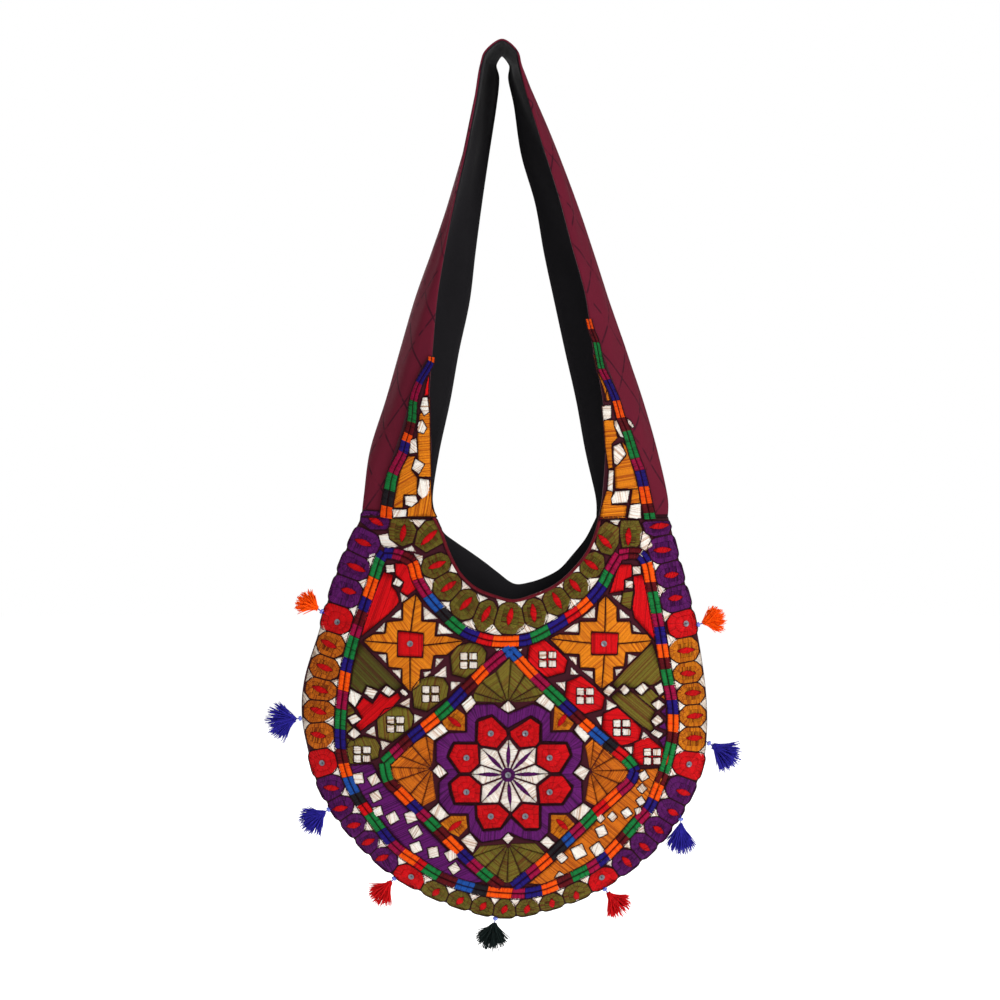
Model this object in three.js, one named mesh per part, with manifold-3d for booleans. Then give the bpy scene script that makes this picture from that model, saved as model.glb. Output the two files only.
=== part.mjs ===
// An embroidered round shoulder bag that hangs by its wide strap.
// Millimetres, +Z up. The front faces -Y, and +X is to the right seen from the front.
// The origin is on the underside of the strap, where it lies over its peg.
import * as THREE from "three";
import { mergeVertices } from "three/addons/utils/BufferGeometryUtils.js";
import Module from "manifold-3d";

const wasm = await Module();
wasm.setup();

// Driving sizes of the body
const bodyRadius = 204.5; // the round lower body, before its small unevenness
const bodyRise = 202; // from the round body's centre up to the shoulder seams
const bodyShift = 2; // the body's centre is this far right of the peg
const frontBelly = 28; // how far the front swells forward of the side seam
const backBelly = 26;
const frontMouthDrop = 83; // from the shoulder seams down to the lowest point of the mouth
const backMouthDrop = 69;

// Driving sizes of the strap
const strapDrop = 472; // from the peg down to the shoulder seams
const leftReach = 142; // from the peg sideways to the strap's fold at each shoulder
const rightReach = 168;
const bandHalf = 76; // half the strap's width at the shoulders

// Cloth walls and the clearance between touching pieces
const frontWall = 3;
const backWall = 1.6;
const liningWall = 1;
const strapWall = 1.5;
const strapLiningWall = 1.2;
const pointWall = 1.5;
const fit = 0.3;
const layerFit = 0.5; // between a cloth wall and its lining, and along the shoulder seams

// Small parts
const bindingHeight = 3;
const sequinRadius = 3;
const sequinThickness = 0.5;
const beadRadius = 2.6;
const beadBore = 1;
const threadRadius = 0.55;
const tasselHead = 3.2;
const medallionRight = 4; // the medallion's centre, from the body's centre
const medallionDrop = 57;
const medallionCells = 45; // from the medallion's centre to each of its red cells

// Fineness of the meshes
const aroundSteps = 32;
const acrossSteps = 8;
const bandSteps = 36;
const bandStations = [-1, -0.7, -0.42, -0.18, 0, 0.18, 0.42, 0.7, 1];
const outlineSteps = 240;

// The body's outline: angle in degrees from straight down, positive to the right,
// and radius as a share of bodyRadius. Its two ends are the strap's shoulders.
const outlineRows = [
  { angle: -133, radius: 1.107 },
  { angle: -124, radius: 1.045 },
  { angle: -114, radius: 1.005 },
  { angle: -100, radius: 1.004 },
  { angle: -90, radius: 1.0 },
  { angle: -80, radius: 0.985 },
  { angle: -70, radius: 0.983 },
  { angle: -60, radius: 0.972 },
  { angle: -50, radius: 0.961 },
  { angle: -37, radius: 0.962 },
  { angle: -25, radius: 0.963 },
  { angle: -12, radius: 0.977 },
  { angle: 0, radius: 0.998 },
  { angle: 12, radius: 0.986 },
  { angle: 25, radius: 0.981 },
  { angle: 38, radius: 0.986 },
  { angle: 50, radius: 0.997 },
  { angle: 62, radius: 1.004 },
  { angle: 75, radius: 1.014 },
  { angle: 85, radius: 1.008 },
  { angle: 96, radius: 1.006 },
  { angle: 109, radius: 1.026 },
  { angle: 119, radius: 1.067 },
  { angle: 128, radius: 1.124 },
];

// The mouth's edge between the strap's two legs: how far across, as a share of the mouth's
// width, and how far down, as a share of its drop.
const frontMouthRows = [
  { across: 0.04, down: 0.15 },
  { across: 0.09, down: 0.42 },
  { across: 0.16, down: 0.68 },
  { across: 0.25, down: 0.85 },
  { across: 0.37, down: 0.95 },
  { across: 0.48, down: 1.0 },
  { across: 0.61, down: 0.93 },
  { across: 0.73, down: 0.82 },
  { across: 0.84, down: 0.63 },
  { across: 0.93, down: 0.4 },
  { across: 0.98, down: 0.16 },
];
const backMouthRows = [
  { across: 0.05, down: 0.24 },
  { across: 0.13, down: 0.39 },
  { across: 0.21, down: 0.52 },
  { across: 0.31, down: 0.69 },
  { across: 0.38, down: 0.82 },
  { across: 0.49, down: 1.0 },
  { across: 0.58, down: 0.98 },
  { across: 0.68, down: 0.9 },
  { across: 0.77, down: 0.78 },
  { across: 0.85, down: 0.57 },
  { across: 0.93, down: 0.33 },
  { across: 0.98, down: 0.1 },
];

// Sections of each leg of the strap, from the shoulder up to the peg. down is a share of
// strapDrop and out of the leg's reach, both at the fold. The other four are shares of
// bandHalf: how far each flap's edge stands in from the fold, and forward or back of it.
const leftLegRows = [
  { down: 1.0, out: 1.0, frontIn: 0.98, forward: 0.29, backIn: 0.98, back: 0.26 },
  { down: 0.957, out: 0.985, frontIn: 0.88, forward: 0.33, backIn: 0.91, back: 0.23 },
  { down: 0.861, out: 0.94, frontIn: 0.83, forward: 0.45, backIn: 0.92, back: 0.2 },
  { down: 0.753, out: 0.83, frontIn: 0.6, forward: 0.57, backIn: 0.86, back: 0.19 },
  { down: 0.646, out: 0.735, frontIn: 0.47, forward: 0.65, backIn: 0.8, back: 0.2 },
  { down: 0.538, out: 0.627, frontIn: 0.33, forward: 0.68, backIn: 0.74, back: 0.23 },
  { down: 0.431, out: 0.5, frontIn: 0.2, forward: 0.67, backIn: 0.58, back: 0.33 },
  { down: 0.323, out: 0.374, frontIn: 0.09, forward: 0.64, backIn: 0.43, back: 0.42 },
  { down: 0.216, out: 0.27, frontIn: 0.04, forward: 0.6, backIn: 0.33, back: 0.48 },
  { down: 0.109, out: 0.19, frontIn: 0.01, forward: 0.56, backIn: 0.28, back: 0.52 },
  { down: 0.05, out: 0.155, frontIn: 0.0, forward: 0.54, backIn: 0.25, back: 0.53 },
  { down: 0.018, out: 0.118, frontIn: 0.0, forward: 0.53, backIn: 0.14, back: 0.53 },
];
const rightLegRows = [
  { down: 1.0, out: 1.0, frontIn: 0.93, forward: 0.28, backIn: 0.94, back: 0.26 },
  { down: 0.957, out: 0.998, frontIn: 0.88, forward: 0.33, backIn: 0.95, back: 0.23 },
  { down: 0.861, out: 0.939, frontIn: 0.72, forward: 0.48, backIn: 0.96, back: 0.2 },
  { down: 0.753, out: 0.852, frontIn: 0.57, forward: 0.62, backIn: 0.89, back: 0.19 },
  { down: 0.646, out: 0.753, frontIn: 0.48, forward: 0.67, backIn: 0.82, back: 0.2 },
  { down: 0.538, out: 0.647, frontIn: 0.34, forward: 0.69, backIn: 0.73, back: 0.23 },
  { down: 0.431, out: 0.548, frontIn: 0.3, forward: 0.66, backIn: 0.65, back: 0.3 },
  { down: 0.323, out: 0.446, frontIn: 0.25, forward: 0.61, backIn: 0.54, back: 0.4 },
  { down: 0.216, out: 0.33, frontIn: 0.2, forward: 0.56, backIn: 0.47, back: 0.48 },
  { down: 0.109, out: 0.201, frontIn: 0.12, forward: 0.54, backIn: 0.28, back: 0.52 },
  { down: 0.05, out: 0.131, frontIn: 0.05, forward: 0.53, backIn: 0.2, back: 0.53 },
  { down: 0.018, out: 0.092, frontIn: 0.0, forward: 0.53, backIn: 0.09, back: 0.53 },
];
const pegRow = { frontIn: 0, forward: 0.53, backIn: 0, back: 0.53 };

// The embroidered points on the strap's front: up is a share of strapDrop above the
// shoulder seam, and width a share of the front flap's own width, from its free edge.
const leftPointRows = [
  { up: 0.004, width: 0.58 },
  { up: 0.087, width: 0.51 },
  { up: 0.15, width: 0.42 },
  { up: 0.203, width: 0.35 },
  { up: 0.246, width: 0.3 },
  { up: 0.288, width: 0.23 },
  { up: 0.32, width: 0.13 },
  { up: 0.337, width: 0.04 },
];
const rightPointRows = [
  { up: 0.004, width: 0.64 },
  { up: 0.06, width: 0.55 },
  { up: 0.12, width: 0.47 },
  { up: 0.175, width: 0.38 },
  { up: 0.23, width: 0.3 },
  { up: 0.3, width: 0.2 },
  { up: 0.36, width: 0.13 },
  { up: 0.41, width: 0.04 },
];

// The tassels: where each hangs on the outline, and where its yarn points, as angles in
// degrees from straight down. length is from bead to tips, spread the fan's half-angle.
const tasselRows = [
  { angle: -120, points: -124, length: 25, spread: 34, colour: 0xf4500f },
  { angle: -89.5, points: -86, length: 31, spread: 40, colour: 0x33268a },
  { angle: -62, points: -56, length: 25, spread: 44, colour: 0x33268a },
  { angle: -33.5, points: -42, length: 27, spread: 30, colour: 0xc8141c },
  { angle: -2, points: -8, length: 29, spread: 42, colour: 0x1c2222 },
  { angle: 29.5, points: 46, length: 26, spread: 32, colour: 0xc8141c },
  { angle: 61, points: 3, length: 30, spread: 30, colour: 0x33268a },
  { angle: 83, points: 58, length: 31, spread: 34, colour: 0x33268a },
  { angle: 115.5, points: 108, length: 26, spread: 36, colour: 0xf4500f },
];

// The sequins in the outer ring's red cells: angle as above, and how far in from the edge.
const edgeSequinRows = [
  { angle: -118.8, inset: 16 },
  { angle: -75.8, inset: 12 },
  { angle: -30.4, inset: 10 },
  { angle: 31.3, inset: 11 },
  { angle: 75.4, inset: 15 },
  { angle: 116.8, inset: 10 },
];

// The two stars' sequins, from the body's centre.
const starSequinRows = [
  { right: -94, up: 74 },
  { right: 100, up: 74 },
];

// Small helpers for curves and angles
const degrees = Math.PI / 180;
const toward = (angle) => new THREE.Vector3(Math.sin(angle * degrees), 0, -Math.cos(angle * degrees));
const mix = THREE.MathUtils.lerp;

// The value of a row's column at a place along its table, on a smooth curve through the rows.
function along(rows, column, place) {
  const last = rows.length - 1;
  const row = Math.min(Math.floor(place), last - 1);
  const value = (index) => rows[THREE.MathUtils.clamp(index, 0, last)][column];
  const [a, b, c, d] = [value(row - 1), value(row), value(row + 1), value(row + 2)];
  const t = place - row;
  const pull = 3 * (b - c) + d - a;
  return b + 0.5 * t * (c - a + t * (2 * a - 5 * b + 4 * c - d + t * pull));
}

// A geometry from points and triangles, turned so that its faces point outwards.
function closedGeometry(points, triangles) {
  const volume = triangles.reduce((sum, [a, b, c]) => {
    const cross = new THREE.Vector3().crossVectors(points[b], points[c]);
    return sum + points[a].dot(cross);
  }, 0);
  const outward = volume > 0 ? triangles : triangles.map(([a, b, c]) => [a, c, b]);
  const geometry = new THREE.BufferGeometry();
  const positions = points.flatMap((point) => point.toArray());
  geometry.setAttribute("position", new THREE.Float32BufferAttribute(positions, 3));
  geometry.setIndex(outward.flat());
  return geometry;
}

// A cloth wall between two grids of points with the same rows and columns.
function clothWall(faceGrid, backGrid) {
  const rows = faceGrid.length;
  const columns = faceGrid[0].length;
  const points = [...faceGrid.flat(), ...backGrid.flat()];
  const face = (i, j) => i * columns + j;
  const back = (i, j) => rows * columns + i * columns + j;
  const triangles = [];
  const quad = (a, b, c, d) => triangles.push([a, b, c], [a, c, d]);
  for (let i = 0; i < rows - 1; i += 1) {
    for (let j = 0; j < columns - 1; j += 1) {
      quad(face(i, j), face(i + 1, j), face(i + 1, j + 1), face(i, j + 1));
      quad(back(i, j), back(i, j + 1), back(i + 1, j + 1), back(i + 1, j));
    }
    quad(face(i + 1, 0), face(i, 0), back(i, 0), back(i + 1, 0));
    const end = columns - 1;
    quad(face(i, end), face(i + 1, end), back(i + 1, end), back(i, end));
  }
  for (let j = 0; j < columns - 1; j += 1) {
    quad(face(0, j), face(0, j + 1), back(0, j + 1), back(0, j));
    const end = rows - 1;
    quad(face(end, j + 1), face(end, j), back(end, j), back(end, j + 1));
  }
  return closedGeometry(points, triangles);
}

// A solid skinned over a row of rings of equal size, with flat ends.
function ringSolid(rings) {
  const sides = rings[0].length;
  const points = rings.flat();
  const triangles = [];
  for (let i = 0; i < rings.length - 1; i += 1) {
    for (let k = 0; k < sides; k += 1) {
      const a = i * sides + k;
      const b = i * sides + ((k + 1) % sides);
      triangles.push([a, b, b + sides], [a, b + sides, a + sides]);
    }
  }
  const end = (rings.length - 1) * sides;
  for (let k = 1; k < sides - 1; k += 1) {
    triangles.push([0, k + 1, k], [end, end + k, end + k + 1]);
  }
  return closedGeometry(points, triangles);
}

// The body's outline, set in from its edge by the given distance.
const bodyCentre = new THREE.Vector3(bodyShift, 0, -strapDrop - bodyRise);
const bodyTop = -strapDrop - layerFit;
const shoulders = [
  new THREE.Vector3(-leftReach, 0, bodyTop),
  new THREE.Vector3(rightReach, 0, bodyTop),
];
const outlineCurve = new THREE.CatmullRomCurve3([
  shoulders[0],
  ...outlineRows.map(({ angle, radius }) =>
    toward(angle).multiplyScalar(bodyRadius * radius).add(bodyCentre),
  ),
  shoulders[1],
]);
function outlinePoint(share, inset) {
  const tangent = outlineCurve.getTangentAt(share);
  const inward = new THREE.Vector3(-tangent.z, 0, tangent.x);
  return outlineCurve.getPointAt(share).addScaledVector(inward, inset);
}
function outlineAtAngle(angle) {
  const direction = toward(angle);
  let nearest = 0;
  for (let k = 0; k <= outlineSteps; k += 1) {
    const point = outlinePoint(k / outlineSteps, 0).sub(bodyCentre).normalize();
    const best = outlinePoint(nearest, 0).sub(bodyCentre).normalize();
    if (point.dot(direction) > best.dot(direction)) nearest = k / outlineSteps;
  }
  return nearest;
}

// The edge of the panels' faceted walls, which is where the tassels hang.
function seamPoint(share) {
  const station = Math.floor(share * aroundSteps);
  const before = outlinePoint(station / aroundSteps, 0);
  const after = outlinePoint((station + 1) / aroundSteps, 0);
  return before.lerp(after, share * aroundSteps - station);
}

// The body swells from its seam like a cushion: swell is 0 at the edge and 1 in the middle.
const edgeLines = new Map();
function distanceToEdge(point, inset) {
  if (!edgeLines.has(inset)) {
    const shares = Array.from({ length: outlineSteps + 1 }, (_, k) => k / outlineSteps);
    edgeLines.set(inset, shares.map((share) => outlinePoint(share, inset)));
  }
  const corners = edgeLines.get(inset);
  const line = new THREE.Line3();
  const foot = new THREE.Vector3();
  let least = Infinity;
  for (let k = 0; k < outlineSteps; k += 1) {
    line.set(corners[k], corners[k + 1]).closestPointToPoint(point, true, foot);
    least = Math.min(least, foot.distanceTo(point));
  }
  return least;
}
function swell(point, inset) {
  const share = Math.min(distanceToEdge(point, inset) / bodyRadius, 1);
  return (1 - (1 - share) ** 2.6) ** 0.7;
}
function onPanel(flatPoint, side, inset, belly) {
  const depth = fit / 2 + (belly - inset) * swell(flatPoint, inset);
  return new THREE.Vector3(flatPoint.x, side * depth, flatPoint.z);
}

// The mouth's edge, between the free edges of the strap's two flaps on that side.
function mouthCurve(rows, column, drop) {
  const left = -leftReach + bandHalf * leftLegRows[0][column];
  const right = rightReach - bandHalf * rightLegRows[0][column];
  const corners = [
    new THREE.Vector3(left, 0, bodyTop),
    ...rows.map(({ across, down }) =>
      new THREE.Vector3(mix(left, right, across), 0, bodyTop - down * drop),
    ),
    new THREE.Vector3(right, 0, bodyTop),
  ];
  return new THREE.CatmullRomCurve3(corners, false, "centripetal");
}
const frontMouth = mouthCurve(frontMouthRows, "frontIn", frontMouthDrop);
const backMouth = mouthCurve(backMouthRows, "backIn", backMouthDrop);

// One cloth wall of the body, from the seam at its outline up to the mouth.
function panelGrid(side, inset, belly, mouth, mouthSink) {
  const grid = [];
  for (let i = 0; i <= aroundSteps; i += 1) {
    const share = i / aroundSteps;
    const edge = outlinePoint(share, inset);
    const lip = mouth.getPointAt(share).addScaledVector(mouthNormal(mouth, share), -mouthSink);
    const row = [];
    for (let j = 0; j <= acrossSteps; j += 1) {
      const flatPoint = edge.clone().lerp(lip, (j / acrossSteps) ** 1.6);
      row.push(onPanel(flatPoint, side, inset, belly));
    }
    grid.push(row);
  }
  return grid;
}
function mouthNormal(mouth, share) {
  const tangent = mouth.getTangentAt(share);
  return new THREE.Vector3(-tangent.z, 0, tangent.x);
}
function panelWall(side, inset, wall, belly, mouth, mouthSink) {
  return clothWall(
    panelGrid(side, inset, belly, mouth, mouthSink),
    panelGrid(side, inset + wall, belly, mouth, mouthSink),
  );
}

// The binding rolled over the front mouth, on the edges of the front and its lining.
function bindingSolid() {
  const outerInset = 0;
  const innerInset = frontWall + layerFit + liningWall;
  const rings = [];
  for (let i = 0; i <= aroundSteps; i += 1) {
    const share = i / aroundSteps;
    const up = mouthNormal(frontMouth, share);
    const lip = frontMouth.getPointAt(share);
    const outer = onPanel(lip, -1, outerInset, frontBelly);
    const inner = onPanel(lip, -1, innerInset, frontBelly);
    const middle = outer.clone().lerp(inner, 0.5);
    const half = outer.distanceTo(inner) / 2;
    const ring = [
      [-1, 0],
      [-1, 0.6],
      [-0.5, 1],
      [0.5, 1],
      [1, 0.6],
      [1, 0],
    ].map(([depth, height]) =>
      middle
        .clone()
        .addScaledVector(up, fit + (height - 1) * bindingHeight)
        .add(new THREE.Vector3(0, depth * half, 0)),
    );
    rings.push(ring);
  }
  return ringSolid(rings);
}

// The strap as one table, from the left shoulder over the peg to the right shoulder. x and z
// are the fold's place, and in is towards +X on the left leg and towards -X on the right.
const strapDepth = strapWall + fit + strapLiningWall;
const legRow = (reach, sign) => (row) => ({
  x: -sign * reach * row.out,
  z: -strapDrop * row.down,
  frontIn: sign * bandHalf * row.frontIn,
  forward: bandHalf * row.forward,
  backIn: sign * bandHalf * row.backIn,
  back: bandHalf * row.back,
});
const strapRows = [
  ...leftLegRows.map(legRow(leftReach, 1)),
  {
    x: 0,
    z: strapDepth,
    frontIn: bandHalf * pegRow.frontIn,
    forward: bandHalf * pegRow.forward,
    backIn: bandHalf * pegRow.backIn,
    back: bandHalf * pegRow.back,
  },
  ...rightLegRows.map(legRow(rightReach, -1)).reverse(),
];

// A point of the strap's outer face: place runs along strapRows, and across from the back flap's
// edge at -1 by the fold at 0 to the front flap's edge at 1. At the shoulders the cloth
// takes the body's own swell.
function onStrap(place, across) {
  const front = across > 0;
  const share = Math.abs(across);
  const inTo = along(strapRows, front ? "frontIn" : "backIn", place);
  const depth = along(strapRows, front ? "forward" : "back", place);
  const x = along(strapRows, "x", place) + inTo * share ** 1.5;
  const z = along(strapRows, "z", place);
  const side = front ? -1 : 1;
  const free = side * depth * (1 - (1 - share) ** 1.6);
  const shoulder = shoulders[place < (strapRows.length - 1) / 2 ? 0 : 1];
  const foot = shoulder.clone().setX(shoulder.x + inTo * share ** 1.5);
  const body = side * (front ? frontBelly : backBelly) * swell(foot, 0);
  const rise = THREE.MathUtils.smoothstep(z + strapDrop, 0, bandHalf * 0.9);
  return new THREE.Vector3(x, mix(body, free, rise), z);
}
function strapNormal(place, across) {
  const last = strapRows.length - 1;
  const step = 0.02;
  const before = onStrap(Math.max(place - step, 0), across);
  const after = onStrap(Math.min(place + step, last), across);
  const back = onStrap(place, Math.max(across - step, -1));
  const front = onStrap(place, Math.min(across + step, 1));
  return front.sub(back).cross(after.sub(before)).normalize();
}
function strapGrid(sink) {
  const last = strapRows.length - 1;
  return Array.from({ length: bandSteps + 1 }, (_, i) => {
    const place = (last * i) / bandSteps;
    return bandStations.map((across) =>
      onStrap(place, across).addScaledVector(strapNormal(place, across), -sink),
    );
  });
}
function strapSheet(innerSink, outerSink) {
  return clothWall(strapGrid(outerSink), strapGrid(innerSink));
}

// An embroidered point laid on the strap's front flap, along its free edge.
function strapPoint(rows, leg) {
  const inside = layerFit + fit;
  const layer = (lift) =>
    rows.map(({ up, width }) => {
      const place = placeAtHeight(leg, -strapDrop * (1 - up));
      return [0, 0.25, 0.5, 0.75, 1].map((share) => {
        const across = mix(1 - width, 1, share);
        return onStrap(place, across).addScaledVector(strapNormal(place, across), lift);
      });
    });
  return clothWall(layer(inside + pointWall), layer(inside));
}
function placeAtHeight(leg, z) {
  let place = leg < 0 ? 0 : strapRows.length - 1;
  while (along(strapRows, "z", place) < z) place -= 0.01 * leg;
  return place;
}

// Solids that are joined from several overlapping shapes
function toSolid(geometry) {
  const bare = geometry.clone();
  bare.deleteAttribute("normal");
  bare.deleteAttribute("uv");
  const merged = mergeVertices(bare, 1e-4);
  const mesh = new wasm.Mesh({
    numProp: 3,
    vertProperties: new Float32Array(merged.attributes.position.array),
    triVerts: new Uint32Array(merged.index.array),
  });
  return new wasm.Manifold(mesh);
}
function toGeometry(solid) {
  const { vertProperties, triVerts } = solid.getMesh();
  const geometry = new THREE.BufferGeometry();
  geometry.setAttribute("position", new THREE.BufferAttribute(vertProperties, 3));
  geometry.setIndex(new THREE.BufferAttribute(triVerts, 1));
  return geometry;
}

// One lock of yarn: a spindle from the head out along its own direction.
function lock(direction, length, turn) {
  const side = new THREE.Vector3(0, 1, 0).cross(direction).normalize();
  const over = direction.clone().cross(side);
  const stations = [
    { out: 0, radius: 0.4 },
    { out: 0.6, radius: 1.1 },
    { out: 1, radius: 0.5 },
  ];
  const rings = stations.map(({ out, radius }) =>
    [0, 1, 2].map((k) => {
      const angle = turn + k * 120 * degrees;
      return direction
        .clone()
        .multiplyScalar(out * length)
        .addScaledVector(side, Math.cos(angle) * radius * tasselHead)
        .addScaledVector(over, Math.sin(angle) * radius * tasselHead);
    }),
  );
  return ringSolid(rings);
}

// A tassel with its knot at the origin and its thread leading back through the bead.
function tasselSolid({ points, length, spread }, threadLength) {
  const axis = toward(points);
  const thread = new THREE.CylinderGeometry(threadRadius, threadRadius, threadLength, 6);
  thread.applyQuaternion(
    new THREE.Quaternion().setFromUnitVectors(new THREE.Vector3(0, 1, 0), axis),
  );
  const threadMiddle = axis.clone().multiplyScalar(-threadLength / 2);
  thread.translate(...threadMiddle.toArray());
  let solid = toSolid(new THREE.SphereGeometry(tasselHead, 6, 4)).add(toSolid(thread));
  const fan = [-1, -0.45, 0.1, 0.6, 1];
  fan.forEach((share, k) => {
    const direction = toward(points + spread * share);
    const lean = (k % 2 ? 1 : -1) * (1 - Math.abs(share) / 2) * spread * degrees;
    direction.multiplyScalar(Math.cos(lean)).setY(Math.sin(lean));
    const reach = length * (1 - 0.16 * Math.abs(share)) - 2 * beadRadius - fit;
    solid = solid.add(toSolid(lock(direction, reach, k)));
  });
  return toGeometry(solid);
}

// A round glass bead, drilled for its thread and turned to lie along it.
function beadSolid(points) {
  const hollow = beadBore;
  const half = Math.sqrt(beadRadius ** 2 - hollow ** 2);
  const profile = [
    new THREE.Vector2(hollow, -half),
    new THREE.Vector2(beadRadius * 0.9, -half * 0.45),
    new THREE.Vector2(beadRadius * 0.9, half * 0.45),
    new THREE.Vector2(hollow, half),
    new THREE.Vector2(hollow, -half),
  ];
  const bead = new THREE.LatheGeometry(profile, 10);
  bead.applyQuaternion(
    new THREE.Quaternion().setFromUnitVectors(new THREE.Vector3(0, 1, 0), toward(points)),
  );
  return bead;
}

// Materials
const cloth = (color) => new THREE.MeshStandardMaterial({ color, roughness: 0.85, metalness: 0 });
const maroonCotton = cloth(0x5c1e30);
const blackLining = cloth(0x1c1b1e);
const embroideredCloth = cloth(0xb01a22);
const amberEmbroidery = cloth(0xde941e);
const redBinding = cloth(0x6e1420);
const glass = new THREE.MeshStandardMaterial({ color: 0x4a5aa8, roughness: 0.15, metalness: 0 });
const sequinMetal = new THREE.MeshStandardMaterial({ color: 0xb8b8bc, roughness: 0.3, metalness: 1 });

const bag = new THREE.Group();
function addPiece(name, geometry, material) {
  const piece = new THREE.Mesh(geometry, material);
  piece.name = name;
  bag.add(piece);
  return piece;
}

// The body's four cloth walls and the binding of its front mouth
const liningInset = frontWall + layerFit;
const backLiningInset = backWall + layerFit;
const bindingSink = bindingHeight;
addPiece(
  "front_panel",
  panelWall(-1, 0, frontWall, frontBelly, frontMouth, bindingSink),
  embroideredCloth,
);
addPiece(
  "front_lining",
  panelWall(-1, liningInset, liningWall, frontBelly, frontMouth, bindingSink),
  blackLining,
);
addPiece("back_panel", panelWall(1, 0, backWall, backBelly, backMouth, 0), maroonCotton);
addPiece(
  "back_lining",
  panelWall(1, backLiningInset, liningWall, backBelly, backMouth, 0),
  blackLining,
);
addPiece("mouth_binding", bindingSolid(), redBinding);

// The strap, its lining and its two embroidered points
addPiece("strap", strapSheet(strapWall, 0), maroonCotton);
addPiece("strap_lining", strapSheet(strapDepth, strapWall + fit), blackLining);
addPiece("strap_point_left", strapPoint(leftPointRows, -1), amberEmbroidery);
addPiece("strap_point_right", strapPoint(rightPointRows, 1), amberEmbroidery);

// The tassels, each on a thread through its bead at the body's edge
tasselRows.forEach((row, k) => {
  const share = outlineAtAngle(row.angle);
  const edge = seamPoint(share);
  const outward = outlinePoint(share, -1).sub(outlinePoint(share, 0));
  const axis = toward(row.points);
  const beadOut = (beadRadius + fit) / axis.dot(outward);
  const knotOut = beadOut + beadRadius + fit + tasselHead;
  const bead = addPiece("bead_" + (k + 1), beadSolid(row.points), glass);
  bead.position.copy(edge).addScaledVector(axis, beadOut);
  const tassel = addPiece(
    "tassel_" + (k + 1),
    tasselSolid(row, knotOut - (fit + threadRadius) / axis.dot(outward)),
    cloth(row.colour),
  );
  tassel.position.copy(edge).addScaledVector(axis, knotOut);
});

// The sequins, each lying flat on the front at its place
function addSequin(name, flatPoint) {
  const step = 2;
  const face = (dx, dz) => {
    const point = flatPoint.clone().add(new THREE.Vector3(dx, 0, dz));
    return onPanel(point, -1, 0, frontBelly);
  };
  const slopeX = face(step, 0).sub(face(-step, 0));
  const slopeZ = face(0, step).sub(face(0, -step));
  const normal = slopeX.cross(slopeZ).normalize();
  const disc = new THREE.CylinderGeometry(sequinRadius, sequinRadius, sequinThickness, 10);
  const sequin = addPiece(name, disc, sequinMetal);
  sequin.quaternion.setFromUnitVectors(new THREE.Vector3(0, 1, 0), normal);
  sequin.position.copy(face(0, 0)).addScaledVector(normal, fit + sequinThickness / 2);
}
const medallion = bodyCentre.clone().add(new THREE.Vector3(medallionRight, 0, -medallionDrop));
addSequin("sequin_centre", medallion);
for (let k = 0; k < 8; k += 1) {
  const cell = toward(22.5 + 45 * k).multiplyScalar(medallionCells);
  addSequin("sequin_cell_" + (k + 1), cell.add(medallion));
}
edgeSequinRows.forEach(({ angle, inset }, k) => {
  addSequin("sequin_edge_" + (k + 1), outlinePoint(outlineAtAngle(angle), inset));
});
starSequinRows.forEach(({ right, up }, k) => {
  const place = bodyCentre.clone().add(new THREE.Vector3(right, 0, up));
  addSequin("sequin_star_" + (k + 1), place);
});

export default bag;
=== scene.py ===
# An embroidered round shoulder bag that hangs by its wide strap, dressed for the photograph's view.
# Sizes are worked out in millimetres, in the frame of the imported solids, and every mesh is in metres.
import math
import bpy
import numpy as np
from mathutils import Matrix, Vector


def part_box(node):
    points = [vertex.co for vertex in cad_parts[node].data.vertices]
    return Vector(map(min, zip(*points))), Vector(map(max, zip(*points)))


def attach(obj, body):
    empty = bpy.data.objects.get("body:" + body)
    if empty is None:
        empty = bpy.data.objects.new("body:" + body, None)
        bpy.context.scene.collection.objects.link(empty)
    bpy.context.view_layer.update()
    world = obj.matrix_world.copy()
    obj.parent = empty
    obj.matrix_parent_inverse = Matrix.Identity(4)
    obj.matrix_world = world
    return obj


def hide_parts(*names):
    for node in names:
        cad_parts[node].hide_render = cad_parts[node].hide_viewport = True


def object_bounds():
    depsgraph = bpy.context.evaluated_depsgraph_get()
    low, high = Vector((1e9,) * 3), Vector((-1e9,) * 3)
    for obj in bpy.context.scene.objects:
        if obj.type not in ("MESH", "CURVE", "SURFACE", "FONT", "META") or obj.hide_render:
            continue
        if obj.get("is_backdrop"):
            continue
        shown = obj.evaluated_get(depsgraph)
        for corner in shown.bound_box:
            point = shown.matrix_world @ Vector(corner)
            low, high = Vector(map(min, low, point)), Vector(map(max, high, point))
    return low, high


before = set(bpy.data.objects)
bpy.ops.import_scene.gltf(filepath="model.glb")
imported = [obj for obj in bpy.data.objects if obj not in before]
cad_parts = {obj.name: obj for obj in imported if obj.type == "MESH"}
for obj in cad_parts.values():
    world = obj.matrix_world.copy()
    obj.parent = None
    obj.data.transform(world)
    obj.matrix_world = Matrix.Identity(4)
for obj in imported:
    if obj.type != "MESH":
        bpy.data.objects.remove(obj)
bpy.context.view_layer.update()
metre = 0.001
draw = np.random.default_rng(11)

# The camera stands square to the front, level with the gap inside the strap. On the plane of the
# front's crown, one pixel of the photograph is one millimetre of the bag.
eye = np.array([-2.0, -2428.0, -456.0])
lens_length = 86.4
film_width = 36.0
camera_data = bpy.data.cameras.new("camera")
camera_data.lens = lens_length
camera_data.sensor_width = film_width
camera = bpy.data.objects.new("camera", camera_data)
camera.location = eye * metre
camera.rotation_euler = (math.pi / 2, 0, 0)
bpy.context.scene.collection.objects.link(camera)
bpy.context.scene.camera = camera


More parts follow.
